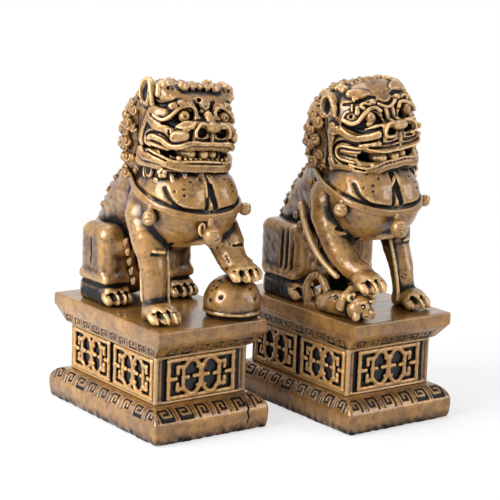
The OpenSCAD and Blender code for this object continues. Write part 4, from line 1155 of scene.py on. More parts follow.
def felt_finish():
    finish = Finish("felt")
    fibre = finish.noise(0.6, 3, 0.7)
    colour = finish.mix(fibre, tone(26, 30, 27), tone(46, 50, 45))
    return finish.surface(Base_Color=colour, Roughness=0.95, Normal=finish.bump(fibre, 0.3))


GOLD = antique("antique_gold")
SHADE = antique("antique_shade", shade=0.06)
GROUND = antique("patina_ground", streaks=-0.02, lift=0.95, uneven=0.5, black=tone(48, 47, 48))
PEDESTAL = antique("antique_gold_pedestal", shade=-0.18, streaks=-0.05, pits=1.2, lift=1.1, uneven=0.4)
# The heads weigh the painted shade of sheltered places more, for darker eye sockets and cheeks.
HEAD = antique("antique_gold_head", shade=0.02, streaks=0.02, deep=1.7)
FELT = felt_finish()


# Curls and panels that repeat

class Nodes:
    """A Geometry Nodes tree under construction, with named inputs."""

    def __init__(self, name, **inputs):
        self.tree = bpy.data.node_groups.new(name, "GeometryNodeTree")
        self.tree.interface.new_socket("Geometry", in_out="INPUT", socket_type="NodeSocketGeometry")
        self.keys = {}
        kinds = {float: "NodeSocketFloat", int: "NodeSocketInt", tuple: "NodeSocketVector"}
        for label, value in inputs.items():
            item = self.tree.interface.new_socket(label.replace("_", " "), in_out="INPUT",
                                                  socket_type=kinds[type(value)])
            item.default_value = value
            self.keys[label] = item.identifier
        self.tree.interface.new_socket("Geometry", in_out="OUTPUT", socket_type="NodeSocketGeometry")
        self.start = self.tree.nodes.new("NodeGroupInput")
        self.geometry = self.start.outputs[0]

    def value(self, label):
        return self.start.outputs[label.replace("_", " ")]

    def add(self, kind, settings, sockets, output=0):
        return add_node(self.tree, kind, settings, sockets).outputs[output]

    def reckon(self, operation, *values):
        return self.add("ShaderNodeMath", {"operation": operation}, dict(enumerate(values)))

    def finish(self, geometry, material):
        done = self.add("GeometryNodeRealizeInstances", {}, {0: geometry})
        done = self.add("GeometryNodeSetMaterial", {}, {"Geometry": done, "Material": material})
        add_node(self.tree, "NodeGroupOutput", {}, {0: done})
        return self


def grow(name, mesh, nodes, **values):
    """Run a tree on a mesh, and return the result as a plain mesh."""
    seed = bpy.data.objects.new(name, mesh)
    bpy.context.scene.collection.objects.link(seed)
    modifier = seed.modifiers.new("grow", "NODES")
    modifier.node_group = nodes.tree
    for label, value in values.items():
        modifier[nodes.keys[label]] = value
    graph = bpy.context.evaluated_depsgraph_get()
    result = bpy.data.meshes.new_from_object(seed.evaluated_get(graph), depsgraph=graph)
    seed.modifiers.clear()
    bpy.data.objects.remove(seed)
    result.name = name
    return result


def curl_nodes(material):
    """A snail curl on each point: a tube wound in a spiral, on a low dome."""
    g = Nodes("curls", Curl_radius=2.6, Rise=1.0, Turns=1.4, Strand=0.9, Seed=3)
    radius, rise, strand = g.value("Curl_radius"), g.value("Rise"), g.value("Strand")
    spiral = g.add("GeometryNodeCurveSpiral", {}, {
        "Resolution": 8, "Rotations": g.value("Turns"), "Start Radius": g.reckon("MULTIPLY", radius, 0.76),
        "End Radius": g.reckon("MULTIPLY", radius, 0.10), "Height": rise})
    along = g.add("GeometryNodeSplineParameter", {}, {}, "Factor")
    thin = g.reckon("SUBTRACT", 1.0, g.reckon("MULTIPLY", along, 0.28))
    spiral = g.add("GeometryNodeSetCurveRadius", {}, {"Curve": spiral, "Radius": thin})
    ring = g.add("GeometryNodeCurvePrimitiveCircle", {"mode": "RADIUS"},
                 {"Resolution": 5, "Radius": strand})
    tube = g.add("GeometryNodeCurveToMesh", {}, {"Curve": spiral, "Profile Curve": ring, "Fill Caps": True})
    tube = g.add("GeometryNodeStoreNamedAttribute", {"data_type": "FLOAT", "domain": "POINT"},
                 {"Geometry": tube, "Name": "groove", "Value": -0.12})
    dome = g.add("GeometryNodeMeshIcoSphere", {}, {"Radius": 1.0, "Subdivisions": 1})
    wide = g.add("ShaderNodeCombineXYZ", {},
                 {"X": radius, "Y": radius, "Z": g.reckon("MULTIPLY", rise, 1.1)})
    dome = g.add("GeometryNodeTransform", {}, {"Geometry": dome, "Scale": wide})
    dome = g.add("GeometryNodeStoreNamedAttribute", {"data_type": "FLOAT", "domain": "POINT"},
                 {"Geometry": dome, "Name": "groove", "Value": 0.42})
    curl = g.add("GeometryNodeJoinGeometry", {}, {})
    join = curl.node
    for part in (tube, dome):
        g.tree.links.new(part, join.inputs[0])
    outward = g.add("GeometryNodeInputNamedAttribute", {"data_type": "FLOAT_VECTOR"}, {"Name": "outward"})
    size = g.add("GeometryNodeInputNamedAttribute", {"data_type": "FLOAT"}, {"Name": "size"})
    facing = g.add("FunctionNodeAlignRotationToVector", {"axis": "Z"}, {"Vector": outward})
    spin = g.add("FunctionNodeRandomValue", {"data_type": "FLOAT"},
                 {2: 0.0, 3: 2 * math.pi, "Seed": g.value("Seed")}, 1)
    turn = g.add("ShaderNodeCombineXYZ", {}, {"Z": spin})
    facing = g.add("FunctionNodeRotateRotation", {"rotation_space": "LOCAL"},
                   {"Rotation": facing, "Rotate By": g.add("FunctionNodeEulerToRotation", {}, {0: turn})})
    placed = g.add("GeometryNodeInstanceOnPoints", {},
                   {"Points": g.geometry, "Instance": curl, "Rotation": facing, "Scale": size})
    smooth = g.add("GeometryNodeSetShadeSmooth", {}, {0: placed})
    return g.finish(smooth, material)


CURLS = curl_nodes(SHADE)


def curl_piece(name, spots, recess, lion, node, **shape):
    """Curls at spots (x, y, z, outward x, y, z, size), as one mesh with its shelter, the painted shade,
    worked out last.
    """
    spots = np.array(spots, float)
    flip = np.array([-1 if lion.mirror else 1, 1, 1])
    seeds = point_mesh(name, lion.world(spots[:, :3]), outward=spots[:, 3:6] * flip, size=spots[:, 6])
    mesh = grow(name, seeds, CURLS, **shape)
    count = len(mesh.vertices)
    co = np.empty(count * 3, np.float32)
    mesh.vertices.foreach_get("co", co)
    # Painted shade from the lion's sheltered places.
    keep(mesh, "hollow", recess.at(lion.own(co.reshape(-1, 3).astype(float))))
    link(name, mesh, SHADE, lion, "antique_shade", [node])


def mane_spots(lion):
    """Rows of curls over the mane's mass, from behind the ear round the back of the head."""
    half = np.array([22.4, 17.0, 26.8])
    middle = np.array([0, -2.8 + lion.set_back, 85.1])
    rng = np.random.default_rng(7 if lion.mirror else 6)
    if lion.mirror:
        beside = ((22, -2.5, 93, 1.15), (22, -1, 84.2, 1.15), (22, 0, 72.8, 1.2), (20.5, 2.7, 61.8, 1.05))
    else:
        beside = ((21.5, -7.5, 99.2, 0.85), (22.4, -4.2, 92.6, 1.1), (22.4, -3.4, 84.4, 1.05),
                  (22, -3.6, 76.6, 1.0), (21, -1, 68.4, 0.95))
    spots = [(side * x, y, z, side * 0.96, -0.25, 0.1, size)
             for side in (-1, 1) for x, y, z, size in beside]
    # Crown, over the top of the head
    c, d = math.cos(math.radians(lion.lean)), math.sin(math.radians(lion.lean))
    for row, y in enumerate((-8.5, -3.6, 1.3, 6.2)):
        for x in np.arange(-14.5 + 2.5 * (row % 2), 15, 5.0):
            x = x + rng.uniform(-0.6, 0.6)
            if lion.mirror:
                z = 8.9 + 13 * math.sqrt(max(1 - (x / 20.8) ** 2 - ((y + 3.5) / 15) ** 2, 0.05))
                if row == 0:
                    continue
            else:
                z = 18.8 - 0.006 * x * x
            spot = np.array(lion.head) + [c * x + d * z, y, c * z - d * x]
            spots.append((*spot, c * 0.03 * x + d, 0.04 * (y - 1), c, rng.uniform(0.82, 1.05)))
    for row, back in enumerate((76, 92, 108, 124, 140, 156, 174)):
        n = max(int(round(24 * math.sin(math.radians(back)))), 3)
        for i in range(n):
            a = 2 * math.pi * (i + (row % 2) / 2 + rng.uniform(-0.12, 0.12)) / n
            if math.cos(a) < -0.80:
                continue
            b = math.radians(back + rng.uniform(-2, 2))
            way = np.array([math.sin(b) * math.sin(a), -math.cos(b), math.sin(b) * math.cos(a)])
            spot = middle + half * way
            out = way / half
            out = out / np.linalg.norm(out)
            size = rng.uniform(0.86, 1.15)
            if min(math.dist(spot, other[:3]) for other in spots) > 3.4:
                spots.append([*(spot + 0.2 * out), *out, size])
    return spots


def spine_spots():
    """Curls down both sides of the tail that lies along the spine."""
    line = [(14, 75), (20, 71.5), (26, 65.5), (31.5, 58.5), (36, 50.5), (39.5, 42), (41, 33.5)]
    spots = []
    for i, (y, z) in enumerate(line):
        for s in (-1, 1):
            out = np.array([0.35 * s, 0.75, 0.55 - 0.09 * i])
            out = out / np.linalg.norm(out)
            spots.append([s * (2.6 + 0.4 * (i % 2)), y, z, *out, 0.92])
            spots.append([s * (7.6 + 0.5 * (i % 2)), y - 2.2, z - 1.6, s * 0.62, 0.6, 0.5 - 0.08 * i, 1.0])
            spots.append([s * (12.2 - 0.5 * (i % 2)), y - 6.2, z - 3.2, s * 0.85, 0.42, 0.3 - 0.06 * i,
                          0.9])
    return spots


def settle(spots, clay):
    """Set curls down on a carved form, each along its own way out."""
    reach = np.arange(8, -8, -0.25)
    settled = []
    for x, y, z, *way, size in spots:
        way = np.array(way) / np.linalg.norm(way)
        probe = np.array([x, y, z]) + reach[:, None] * way
        inside = clay.at(probe) < 0
        if inside.any():
            settled.append([*probe[inside.argmax()], *way, size])
    return settled


# Pieces of a lion

def build_lion(lion):
    sex = lion.sex
    male = sex == "male"
    # Recipe of each carved piece, the two corners of its box, and the step of its grid
    boxes = {
        "trunk": (trunk, (-29, -52, -1), (29, 47, 102), 0.65),
        "hind": (hind_legs, (-30, -2, -1), (30, 39, 43), 0.55),
        "head": (male_head if male else female_head, (-29, -48, 70), (29, 10, 119), 0.42),
        "jaw": (jaw, (-29, -46, 66), (29, 12, 90), 0.42),
        "beard": (jowls, (-27, -44, 52), (27, 6, 78), 0.45),
        "tongue": (tongue, (-14, -44, 72), (14, -8, 88), 0.45),
        "eyes": (eyes, (-20, -44, 90), (20, -24, 106), 0.3),
        "ears": (ears, (-31, -28, 92), (31, -2, 118), 0.4),
        "mane": (mane, (-27, -22, 55), (27, 20, 117), 0.6),
        "rest": (paw_rest, (4, -53, -1), (36, 2, 24), 0.4),
        "bells": (pendants, (-29, -54, 34), (30, -18, 60), 0.38),
    }
    recess = Recess((-32, -55, -4), (32, 50, 122), SHELTER_STEP)
    for recipe, low, high, _ in boxes.values():
        recess.add(carve(recipe, low, high, SHELTER_STEP, lion))
    recess.finish()

    def piece(key, name, material, slot, nodes, waves=0.12, **extra_shade):
        recipe, low, high, step = boxes[key]
        clay = carve(recipe, low, high, step * COARSER, lion)
        carved_piece(f"{sex}_{name}", clay, recess, lion, material, slot, nodes, waves, len(name), **extra_shade)

    piece("trunk", "trunk_and_forelegs", GOLD, "antique_gold",
          ["body", "standing_foreleg", "raised_foreleg"], 0.1)
    # The haunches take added painted shade on their feet, darker towards the bottom below 12 mm.
    piece("hind", "haunches", GOLD, "antique_gold", ["right_hind_leg", "left_hind_leg"], 0.1,
          soot=0.22, below=12)
    piece("head", "carved_head", HEAD, "antique_gold", ["head"], 0.08)
    piece("jaw", "carved_jaw", HEAD, "antique_gold", ["lower_jaw"], 0.08)
    # The beard takes added painted shade all over, where it hangs under the jaw.
    piece("beard", "beard_tufts", SHADE, "antique_shade", ["beard"], 0.06, soot=0.2)
    piece("tongue", "carved_tongue", SHADE, "antique_shade", ["tongue"], 0.06)
    piece("eyes", "drilled_eyes", HEAD, "antique_gold", ["eyes"], 0.0)
    piece("ears", "hollow_ears", HEAD, "antique_gold", ["ears"], 0.06)
    piece("mane", "mane_mass", SHADE, "antique_shade", ["mane"])
    piece("rest", "worn_ball" if male else "carved_cub", GOLD, "antique_gold", ["ball" if male else "cub"],
          0.1)
    piece("bells", "carved_bells", GOLD, "antique_gold", ["bells"], 0.06)
    curl_piece(f"{sex}_mane_curls", mane_spots(lion), recess, lion, "mane",
               Curl_radius=3.1 * MM, Rise=1.3 * MM, Strand=0.98 * MM)
    back = carve(trunk, *boxes["trunk"][1:3], SHELTER_STEP, lion)
    curl_piece(f"{sex}_tail_curls", settle(spine_spots(), back), recess, lion, "tail",
               Curl_radius=2.6 * MM, Rise=1.3 * MM, Strand=0.8 * MM)
    locks = [(-25.4, -9.2 - 1.9 * i, 36 - 4.4 * i, -0.9, 0.3, 0.1, 0.9) for i in range(5)]
    if male:
        locks += [(25.2, -11.3 - 3.4 * i, 42.6 - 3.6 * i, 0.9, 0.3, 0.1, 0.75) for i in range(5)]
    else:
        locks += [(25.8, 7.4 - 3.1 * i, 45.0 - 4.6 * i, 0.9, 0.3, 0.1, 0.9) for i in range(7)]
    curl_piece(f"{sex}_elbow_curls", locks, recess, lion, "elbow_locks",
               Curl_radius=2.7 * MM, Rise=1.1 * MM, Strand=0.85 * MM)
    collar_strap(lion, recess)


def collar_strap(lion, recess):
    """Strap that lies on the neck, along the line that the trunk's carving kept."""
    path, out = lion.strap + 0.6 * lion.strap_out, lion.strap_out
    half_wide, half_thick, sides = 1.75, 1.15, 14
    along = np.roll(path, -1, 0) - np.roll(path, 1, 0)
    along /= np.linalg.norm(along, axis=1, keepdims=True)
    up = np.cross(out, along)
    up *= np.sign(up[:, 2:3])
    up /= np.linalg.norm(up, axis=1, keepdims=True)
    points, groove = [], []
    for i in range(len(path)):
        for j in range(sides):
            a = 2 * math.pi * j / sides
            u = math.copysign(abs(math.sin(a)) ** 0.7, math.sin(a))
            v = math.copysign(abs(math.cos(a)) ** 0.7, math.cos(a))
            dip = 0.3 * math.exp(-(u / 0.25) ** 2) if v > 0 else 0
            points.append(path[i] + up[i] * half_wide * u + out[i] * (half_thick * v - dip))
            groove.append(0.1 if dip > 0.15 else (-0.15 if v > 0.3 else 0.5))
    n = len(path)
    faces = [[i * sides + j, (i + 1) % n * sides + j, (i + 1) % n * sides + (j + 1) % sides,
              i * sides + (j + 1) % sides] for i in range(n) for j in range(sides)]
    points, faces = np.array(points), np.array(faces)
    outward = np.sum(face_normals(points, faces) * (points[faces].mean(1) - np.repeat(path, sides, 0)), 1)
    if outward.mean() < 0:
        faces = faces[:, ::-1]
    points += 0.10 * hand_waves(points, 3.5, 5)[:, None] * point_normals(points, faces)
    if lion.mirror:
        faces = faces[:, ::-1]
    name = f"{lion.sex}_strap"
    # The strap takes the painted shade of the lion's sheltered places at half weight.
    mesh = quad_mesh(name, lion.world(points), faces, groove=groove, hollow=recess.at(points) * 0.5)
    link(name, mesh, GOLD, lion, "antique_gold", ["collar"])


# Pedestals

# A key, as raised lines in its square: the separator, then the spiral
KEY_LINES = [
    [(0.03, 0.02), (0.03, 0.98)],
    [(0.19, 0.05), (0.19, 0.93), (0.90, 0.93), (0.90, 0.08),
     (0.42, 0.08), (0.42, 0.62), (0.67, 0.62), (0.67, 0.34)],
]
KEY_LINES_OTHER = [
    [(0.03, 0.02), (0.03, 0.98)],
    [(0.20, 0.02), (0.20, 0.90), (0.88, 0.90), (0.88, 0.30), (0.44, 0.30), (0.44, 0.60), (0.66, 0.60)],
]


def line_gap(lines, u, v, width, height):
    """Distance from points of a key's square to its lines, in millimetres."""
    best = np.full(u.shape, 99.0)
    for line in lines:
        for (x1, y1), (x2, y2) in zip(line, line[1:]):
            ax, ay = x1 * width, y1 * height
            bx, by = (x2 - x1) * width, (y2 - y1) * height
            t = np.clip(((u - ax) * bx + (v - ay) * by) / max(bx * bx + by * by, 1e-9), 0, 1)
            best = np.minimum(best, np.hypot(u - ax - t * bx, v - ay - t * by))
    return best


def key_relief(u, v, length, pitch, height, depth, half_line, seed, slant=0.0):
    """Height of the cut pattern along a side: u runs from its middle, v up from the foot of the band."""
    rng = np.random.default_rng(seed)
    count = max(int(length // pitch), 1)
    start = -count * pitch / 2
    place = (u - slant * v - start) / pitch
    cell = np.floor(place).astype(int)
    share = (place - cell) * pitch
    inside = (v > -0.2) & (v < height + 0.2) & (cell >= 0) & (cell < count)
    wear = rng.uniform(0.0, 1.0, count)
    other = rng.uniform(0, 1, count) < 0.25
    index = np.clip(cell, 0, count - 1)
    gap = np.where(other[index], line_gap(KEY_LINES_OTHER, share, v, pitch, height),
                   line_gap(KEY_LINES, share, v, pitch, height))
    ridge = np.clip((half_line + 0.22 - gap) / 0.44, 0, 1)
    ridge = ridge * ridge * (3 - 2 * ridge)
    strength = 1.0 - 0.45 * wear[index] ** 2
    edge = np.clip((v + 0.2) / 0.5, 0, 1) * np.clip((height + 0.2 - v) / 0.5, 0, 1)
    return np.where(inside, -depth * strength * (1 - ridge) * edge, 0.0)


def moulding(name, lion, rings, corner, relief, base, node):
    """Block with a moulded edge. Rings go up the outside: half width, half length, height."""
    half_w, half_l = (max(r[k] for r in rings) for k in (0, 1))
    # Columns: along each side by distance, and round each corner by angle
    columns = []
    arc = 5
    for side, half in enumerate((half_w, half_l, half_w, half_l)):
        n = int(2 * (half - corner) / MOULDING_STEP)
        columns += [(side, i / n, None) for i in range(n)]
        columns += [(side, None, i / arc) for i in range(arc)]
    rings = np.array(rings)
    rises = np.diff(rings, axis=0)
    runs = [np.concatenate([[0], np.cumsum(np.hypot(rises[:, k], rises[:, 2]))]) for k in (0, 1)]
    slope = np.gradient(rings, axis=0)
    points = np.zeros((len(rings), len(columns), 3))
    normal = np.zeros_like(points)
    u, v = np.zeros((2, *points.shape[:2]))
    kind = np.zeros(points.shape[:2], int)
    tangent = [(1, 0), (0, 1), (-1, 0), (0, -1)]
    outward = [(0, -1), (1, 0), (0, 1), (-1, 0)]
    for c, (side, share, bend) in enumerate(columns):
        t, o = np.array(tangent[side]), np.array(outward[side])
        across, deep = (0, 1) if side % 2 == 0 else (1, 0)
        half_t, half_o = rings[:, across], rings[:, deep]
        flat = np.column_stack([slope[:, 2], -slope[:, deep]])
        flat = flat / np.maximum(np.linalg.norm(flat, axis=1, keepdims=True), 1e-9)
        if bend is None:
            place = (2 * share - 1) * (half_t - corner)
            xy = np.outer(place, t) + np.outer(half_o, o)
            way = np.tile(o, (len(rings), 1)).astype(float)
        else:
            a = bend * math.pi / 2
            way = np.tile(math.cos(a) * o + math.sin(a) * t, (len(rings), 1))
            xy = np.outer(half_t - corner, t) + np.outer(half_o - corner, o) + corner * way
            place = half_t
        points[:, c, :2] = xy
        points[:, c, 2] = rings[:, 2]
        normal[:, c, :2] = way * flat[:, :1]
        normal[:, c, 2] = flat[:, 1]
        u[:, c] = place
        v[:, c] = runs[deep]
        kind[:, c] = side if bend is None else -1
    height, groove = relief(u, v, kind, points)
    points = points + normal * height[..., None]
    rows, cols = len(rings), len(columns)
    grid = np.arange(rows * cols).reshape(rows, cols)
    nxt = np.roll(grid, -1, axis=1)
    faces = np.stack([grid[:-1], nxt[:-1], nxt[1:], grid[1:]], -1).reshape(-1, 4)
    if lion.mirror:
        faces = faces[:, ::-1]
    mesh = quad_mesh(name, lion.world(points.reshape(-1, 3), base), faces, groove=groove.ravel(),
                     hollow=np.zeros(rows * cols))
    close_rings(mesh, grid[0], grid[-1])
    link(name, mesh, PEDESTAL, lion, "antique_gold", [node])


def close_rings(mesh, foot, top):
    """Close a moulding's open ends with flat faces."""
    work = bmesh.new()
    work.from_mesh(mesh)
    work.verts.ensure_lookup_table()
    for ring, up in ((foot, -1), (top, 1)):
        face = work.faces.new([work.verts[int(i)] for i in ring])
        face.smooth = False
        face.normal_update()
        if face.normal.z * up < 0:
            face.normal_flip()
    bmesh.ops.triangulate(work, faces=[f for f in work.faces if len(f.verts) > 4])
    work.to_mesh(mesh)
    work.free()


def worn_noise(points, size, seed):
    return hand_waves(points.reshape(-1, 3), size, seed).reshape(points.shape[:2])


def worn(points, seed):
    """Long and short waves of a worn surface, in millimetres."""
    return 0.07 * worn_noise(points, 14, seed) + 0.02 * worn_noise(points, 4, seed + 1)


def ring(half, inset, height):
    """Ring of a moulding at a height, set in by one distance, or by one across and one along."""
    return (*(np.array(half) - inset), height)


def keys_round(u, v, kind, bands, seed, **keys):
    """Keys on four sides. A band is its foot, length and height: one for the ends, one for the sides."""
    height = np.zeros(u.shape)
    for side in range(4):
        foot, length, tall = bands[side % 2]
        cut = key_relief(u, v - foot, length, height=tall, seed=seed + side, **keys)
        height = np.where(kind == side, cut, height)
    return height


def plinth(lion):
    """Foot with an undercut, a bulge and a round shoulder, with keys cut under the top edge."""
    male = lion.sex == "male"
    seed = 11 if male else 23
    bulge, high, undercut = 7.75, 15.5, 1.1
    shoulder = np.array([5.85, 10.85])
    rings = [ring(PLINTH_HALF, undercut * (1 - math.sin(a)), bulge - (bulge + 0.5) * math.cos(a))
             for a in np.linspace(0, math.pi / 2, 16)]
    rings += [ring(PLINTH_HALF, shoulder * (1 - math.cos(a)), bulge + (high - bulge) * math.sin(a))
              for a in np.linspace(0, math.pi / 2, 34)[1:]]

    def relief(u, v, kind, points):
        z = points[..., 2]
        ends_top, sides_top = (v[-1][kind[-1] == side][0] for side in (0, 1))
        ends_tall, sides_tall = 9.6, 7.6
        bands = ((ends_top - ends_tall - 2.2, 66, ends_tall),
                 (sides_top - sides_tall - 0.9, 101, sides_tall))
        height = keys_round(u, v, kind, bands, seed, pitch=10.8, depth=0.7, half_line=0.78)
        rough = np.clip(1 - z / 4.5, 0, 1)
        groove = np.clip(-height * 0.95, -0.1, 0.9) + rough * 0.2
        height += worn(points, seed)
        # Ragged foot, and a crack across the front of the male's
        ragged = rough * worn_noise(points, 4, seed + 2)
        height += 0.14 * ragged
        groove += 0.12 * ragged
        if male:
            away = np.abs(u - 20.5 - 0.4 * np.sin(z * 1.3))
            crack = np.where((kind == 0) & (z > 3) & (z < 13.5), np.clip(1 - away / 0.5, 0, 1), 0)
            height -= 0.55 * crack
            groove += crack
        return height, groove

    moulding(f"{lion.sex}_keyed_plinth", lion, rings, 1.6, relief, PLINTH_FOOT, "plinth")


def slab(lion):
    """Slab with an upright edge over a sloping band that carries keys."""
    seed = 31 if lion.sex == "male" else 47
    band, high, bevel = 8.0, 14.5, 0.8
    rings = [(27.65, 40.65, 0), (28.3, 41.3, 0.35)]
    rings += [(28.9 + s * 1.9, 42.2 + s * 6.3, 0.9 + s * (band - bevel - 0.9))
              for s in np.linspace(0, 1, 22)]
    rings += [ring(SLAB_HALF, inset, band + rise) for inset,
              rise in ((0.75, -0.4), (0.7, -0.1), (0.2, 0.05))]
    rings += [ring(SLAB_HALF, -0.12 * math.sin(s * math.pi), band + 0.5 + s * 5.2)
              for s in np.linspace(0, 1, 12)]
    rings += [ring(SLAB_HALF, bevel * (1 - math.cos(a)), high - bevel + bevel * math.sin(a))
              for a in np.linspace(0, math.pi / 2, 6)[1:]]
    rings += [ring(SLAB_HALF, bevel + inset, high) for inset in (2.0, 4.0, 8.0, 16.0, 24.0)]

    def relief(u, v, kind, points):
        z = points[..., 2]
        bands = ((1.4, 58, 7.4), (1.3, 92, 5.2))
        height = keys_round(u, v, kind, bands, seed, pitch=8.6, depth=0.5, half_line=0.6, slant=0.25)
        height = np.where(z < band - 0.3, height, 0)
        groove = np.clip(-height * 1.1, -0.1, 0.9) + np.where(z < 0.8, 0.3, 0)
        height += np.where(z > high - 0.05, 0.0, worn(points, seed))
        return height, groove

    moulding(f"{lion.sex}_keyed_slab", lion, rings, 0.9, relief, SLAB_FOOT, "top_slab")


def waist_block(clay, _):
    """Sunk ground between two rails, with upright ribs at the corners."""
    clay.place()
    clay.block((0, 0, 12), (*WAIST_HALF, 12.5), 0.6)
    for z in (0.6, 23.4):
        clay.block((0, 0, z), (26.7, 39.7, 1.1), 0.7, 0.6)
    for sx in (-1, 1):
        for sy in (-1, 1):
            clay.rope([(25.7 * sx, 38.7 * sy, 1, 1.25), (25.7 * sx, 38.7 * sy, 23, 1.25)], 0.8)
            clay.rope([(23.4 * sx, 38.6 * sy, 1, 0.8), (23.3 * sx, 38.7 * sy, 23, 0.8)], 0.8)
            clay.rope([(25.6 * sx, 36.9 * sy, 1, 0.6), (25.6 * sx, 36.9 * sy, 23, 0.6)], 0.6)
    clay.floor()


def fret_panel(width, height, seed):
    """Raised frets of a panel, carved flat in the XZ plane and facing -Y."""
    def recipe(clay, _):
        clay.place()
        line = 1.08
        w, h = width / 2 - line, height / 2 - line
        rng = np.random.default_rng(seed)

        def draw(points, radius=line):
            deep = [(x, rng.uniform(-0.1, 0.15), z, radius * rng.uniform(0.95, 1.15)) for x, z in points]
            for ends in zip(deep, deep[1:]):
                clay.rope(ends, 0.7)
                clay.rope([(x, 1.2, z, r * 1.05) for x, _, z, r in ends], 0.7)

        for start, end in (((-w, -h), (w, -h)), ((-w, h), (w, h)), ((-w, -h), (-w, h)), ((w, -h), (w, h))):
            draw([start, end])
        loop_w = 0.26 * width
        cut = 0.34 * loop_w
        for s in (-1, 1):
            left, right = s * 0.45, s * (loop_w + 0.1)
            draw([(left, h - cut - 1), (left + s * cut, h - 0.8), (right - s * cut, h - 0.8),
                  (right, h - cut - 1), (right, -h + cut + 1), (right - s * cut, -h + 0.8),
                  (left + s * cut, -h + 0.8), (left, -h + cut + 1), (left, h - cut - 1)])
            draw([(left, 0.3), (left + s * 0.09 * width, 0.2)])
            draw([(right, 0.2), (right - s * 0.07 * width, 0.0)])
            draw([(s * w, 0), (s * (w - 0.10 * width), 0)])
            for up in (-1, 1):
                draw([(right, up * 0.27 * height), (right + s * 0.08 * width, up * 0.27 * height),
                      (right + s * 0.08 * width, up * 0.13 * height)])
                draw([(left, up * 0.22 * height), (left + s * 0.045 * width, up * 0.22 * height)],
                     line * 0.8)
        depth_in = clay.low[1] + clay.step * np.arange(clay.count[1])
        clay.depth = np.maximum(clay.depth, depth_in[None, :, None].astype(np.float32) - 1.5)
    return recipe


def panel_nodes():
    """Set a panel in a row, then on two opposite faces."""
    g = Nodes("panel_rows", Panels=1, First_panel=(0.0, 0.0, 0.0), Step=(0.0, 0.0, 0.0), Face_distance=0.04,
              Turn=0.0)
    row = g.add("GeometryNodeMeshLine", {"mode": "OFFSET"}, {"Count": g.value("Panels"),
                "Start Location": g.value("First_panel"), "Offset": g.value("Step")})
    placed = g.add("GeometryNodeInstanceOnPoints", {}, {"Points": row, "Instance": g.geometry})
    out = g.add("ShaderNodeCombineXYZ", {}, {"Y": g.reckon("MULTIPLY", g.value("Face_distance"), -1.0)})
    placed = g.add("GeometryNodeTransform", {}, {"Geometry": placed, "Translation": out})
    pair = g.add("GeometryNodeMeshLine", {"mode": "OFFSET"}, {"Count": 2, "Offset": (0, 0, 0)})
    number = g.add("GeometryNodeInputIndex", {}, {})
    around = g.reckon("ADD", g.reckon("MULTIPLY", number, math.pi), g.value("Turn"))
    turn = g.add("ShaderNodeCombineXYZ", {}, {"Z": around})
    placed = g.add("GeometryNodeInstanceOnPoints", {}, {"Points": pair, "Instance": placed,
                   "Rotation": g.add("FunctionNodeEulerToRotation", {}, {0: turn})})
    return g


PANELS = panel_nodes()
PANELS.finish(PANELS.tree.nodes[-1].outputs[0], PEDESTAL)


def frets(lion):
    """End panels and side panels round the waist."""
    panel_h = 20.8
    end_w, side_w = 40.0, 35.1
    for label, width, count, first, distance, turn in (
            ("end_frets", end_w, 1, 0.0, 39.2, 0.0),
            ("side_frets", side_w, 2, -(side_w + 4) / 2, 26.2, math.pi / 2)):
        clay = Clay((-width / 2, -1.6, -panel_h / 2), (width / 2, 1.4, panel_h / 2), FRET_STEP)
        fret_panel(width, panel_h, 3 if label == "end_frets" else 8)(clay, lion)
        points, faces = clay.skin()
        groove = 1.3 * clay.buried(points, 2)
        groove += np.clip((points[:, 1] + 0.5) * 0.8, -0.05, 0.8)
        points = points + 0.12 * point_normals(points, faces) * hand_waves(points, 3.0, 4)[:, None]
        flat = quad_mesh(label, points * MM, faces, groove=groove, hollow=np.zeros(len(points)))
        name = f"{lion.sex}_{label}"
        mesh = grow(name, flat, PANELS, Panels=count, First_panel=(first * MM, 0.0, 0.0),
                    Step=(-2 * first * MM, 0.0, 0.0), Face_distance=distance * MM, Turn=turn)
        mesh.transform(Matrix.Translation(Vector((lion.x, lion.y, WAIST_FOOT + 12)) * MM))
        link(name, mesh, PEDESTAL, lion, "antique_gold", ["fret_panels"])


def pedestal(lion):
    plinth(lion)
    slab(lion)
    clay = carve(waist_block, (-28, -41, 0), (28, 41, 24), 0.64 * COARSER, lion)
    points, faces = clay.skin()
    groove = 1.6 * clay.buried(points, 2)
    proud = (np.abs(points[:, :2]) - WAIST_HALF).max(1)
    groove += 0.7 * np.clip((0.9 - proud) / 0.7, 0, 1)
    if lion.mirror:
        faces = faces[:, ::-1]
    name = f"{lion.sex}_waist_ground"
    mesh = quad_mesh(name, lion.world(points, WAIST_FOOT), faces, groove=groove,
                     hollow=np.zeros(len(points)))
    link(name, mesh, GROUND, lion, "patina_ground", ["waist"])
    frets(lion)
    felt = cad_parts[f"{lion.sex}_felt_pad"]
    felt.data.materials.clear()
    felt.data.materials.append(FELT)


for lion in (MALE, FEMALE):
    pedestal(lion)
    build_lion(lion)


# Floor, light and camera

# Fitted camera: place in metres; azimuth, elevation and roll in degrees; lens and sensor in millimetres
CAMERA_PLACE = (-0.48358, -0.65007, 0.24573)
CAMERA_TURN = (-36.541, 11.43, 2.0)
LENS, SENSOR = 117.57, 36.0
# Lamps: name, place, aim and size in metres, power in watts, colour
LAMPS = (
    ("window", (-1.05, 0.1, 0.55), (0, 0, 0.09), (0.8, 0.8), 20.0, (0.92, 0.96, 1.0)),
    ("front_fill", (0.75, -0.85, 0.45), (0, 0, 0.08), (0.6, 0.5), 4.0, (1, 1, 1)),
    ("overhead", (0.0, 0.25, 1.0), (0, 0, 0.1), (0.7, 0.7), 5.0, (1, 1, 1)),
)


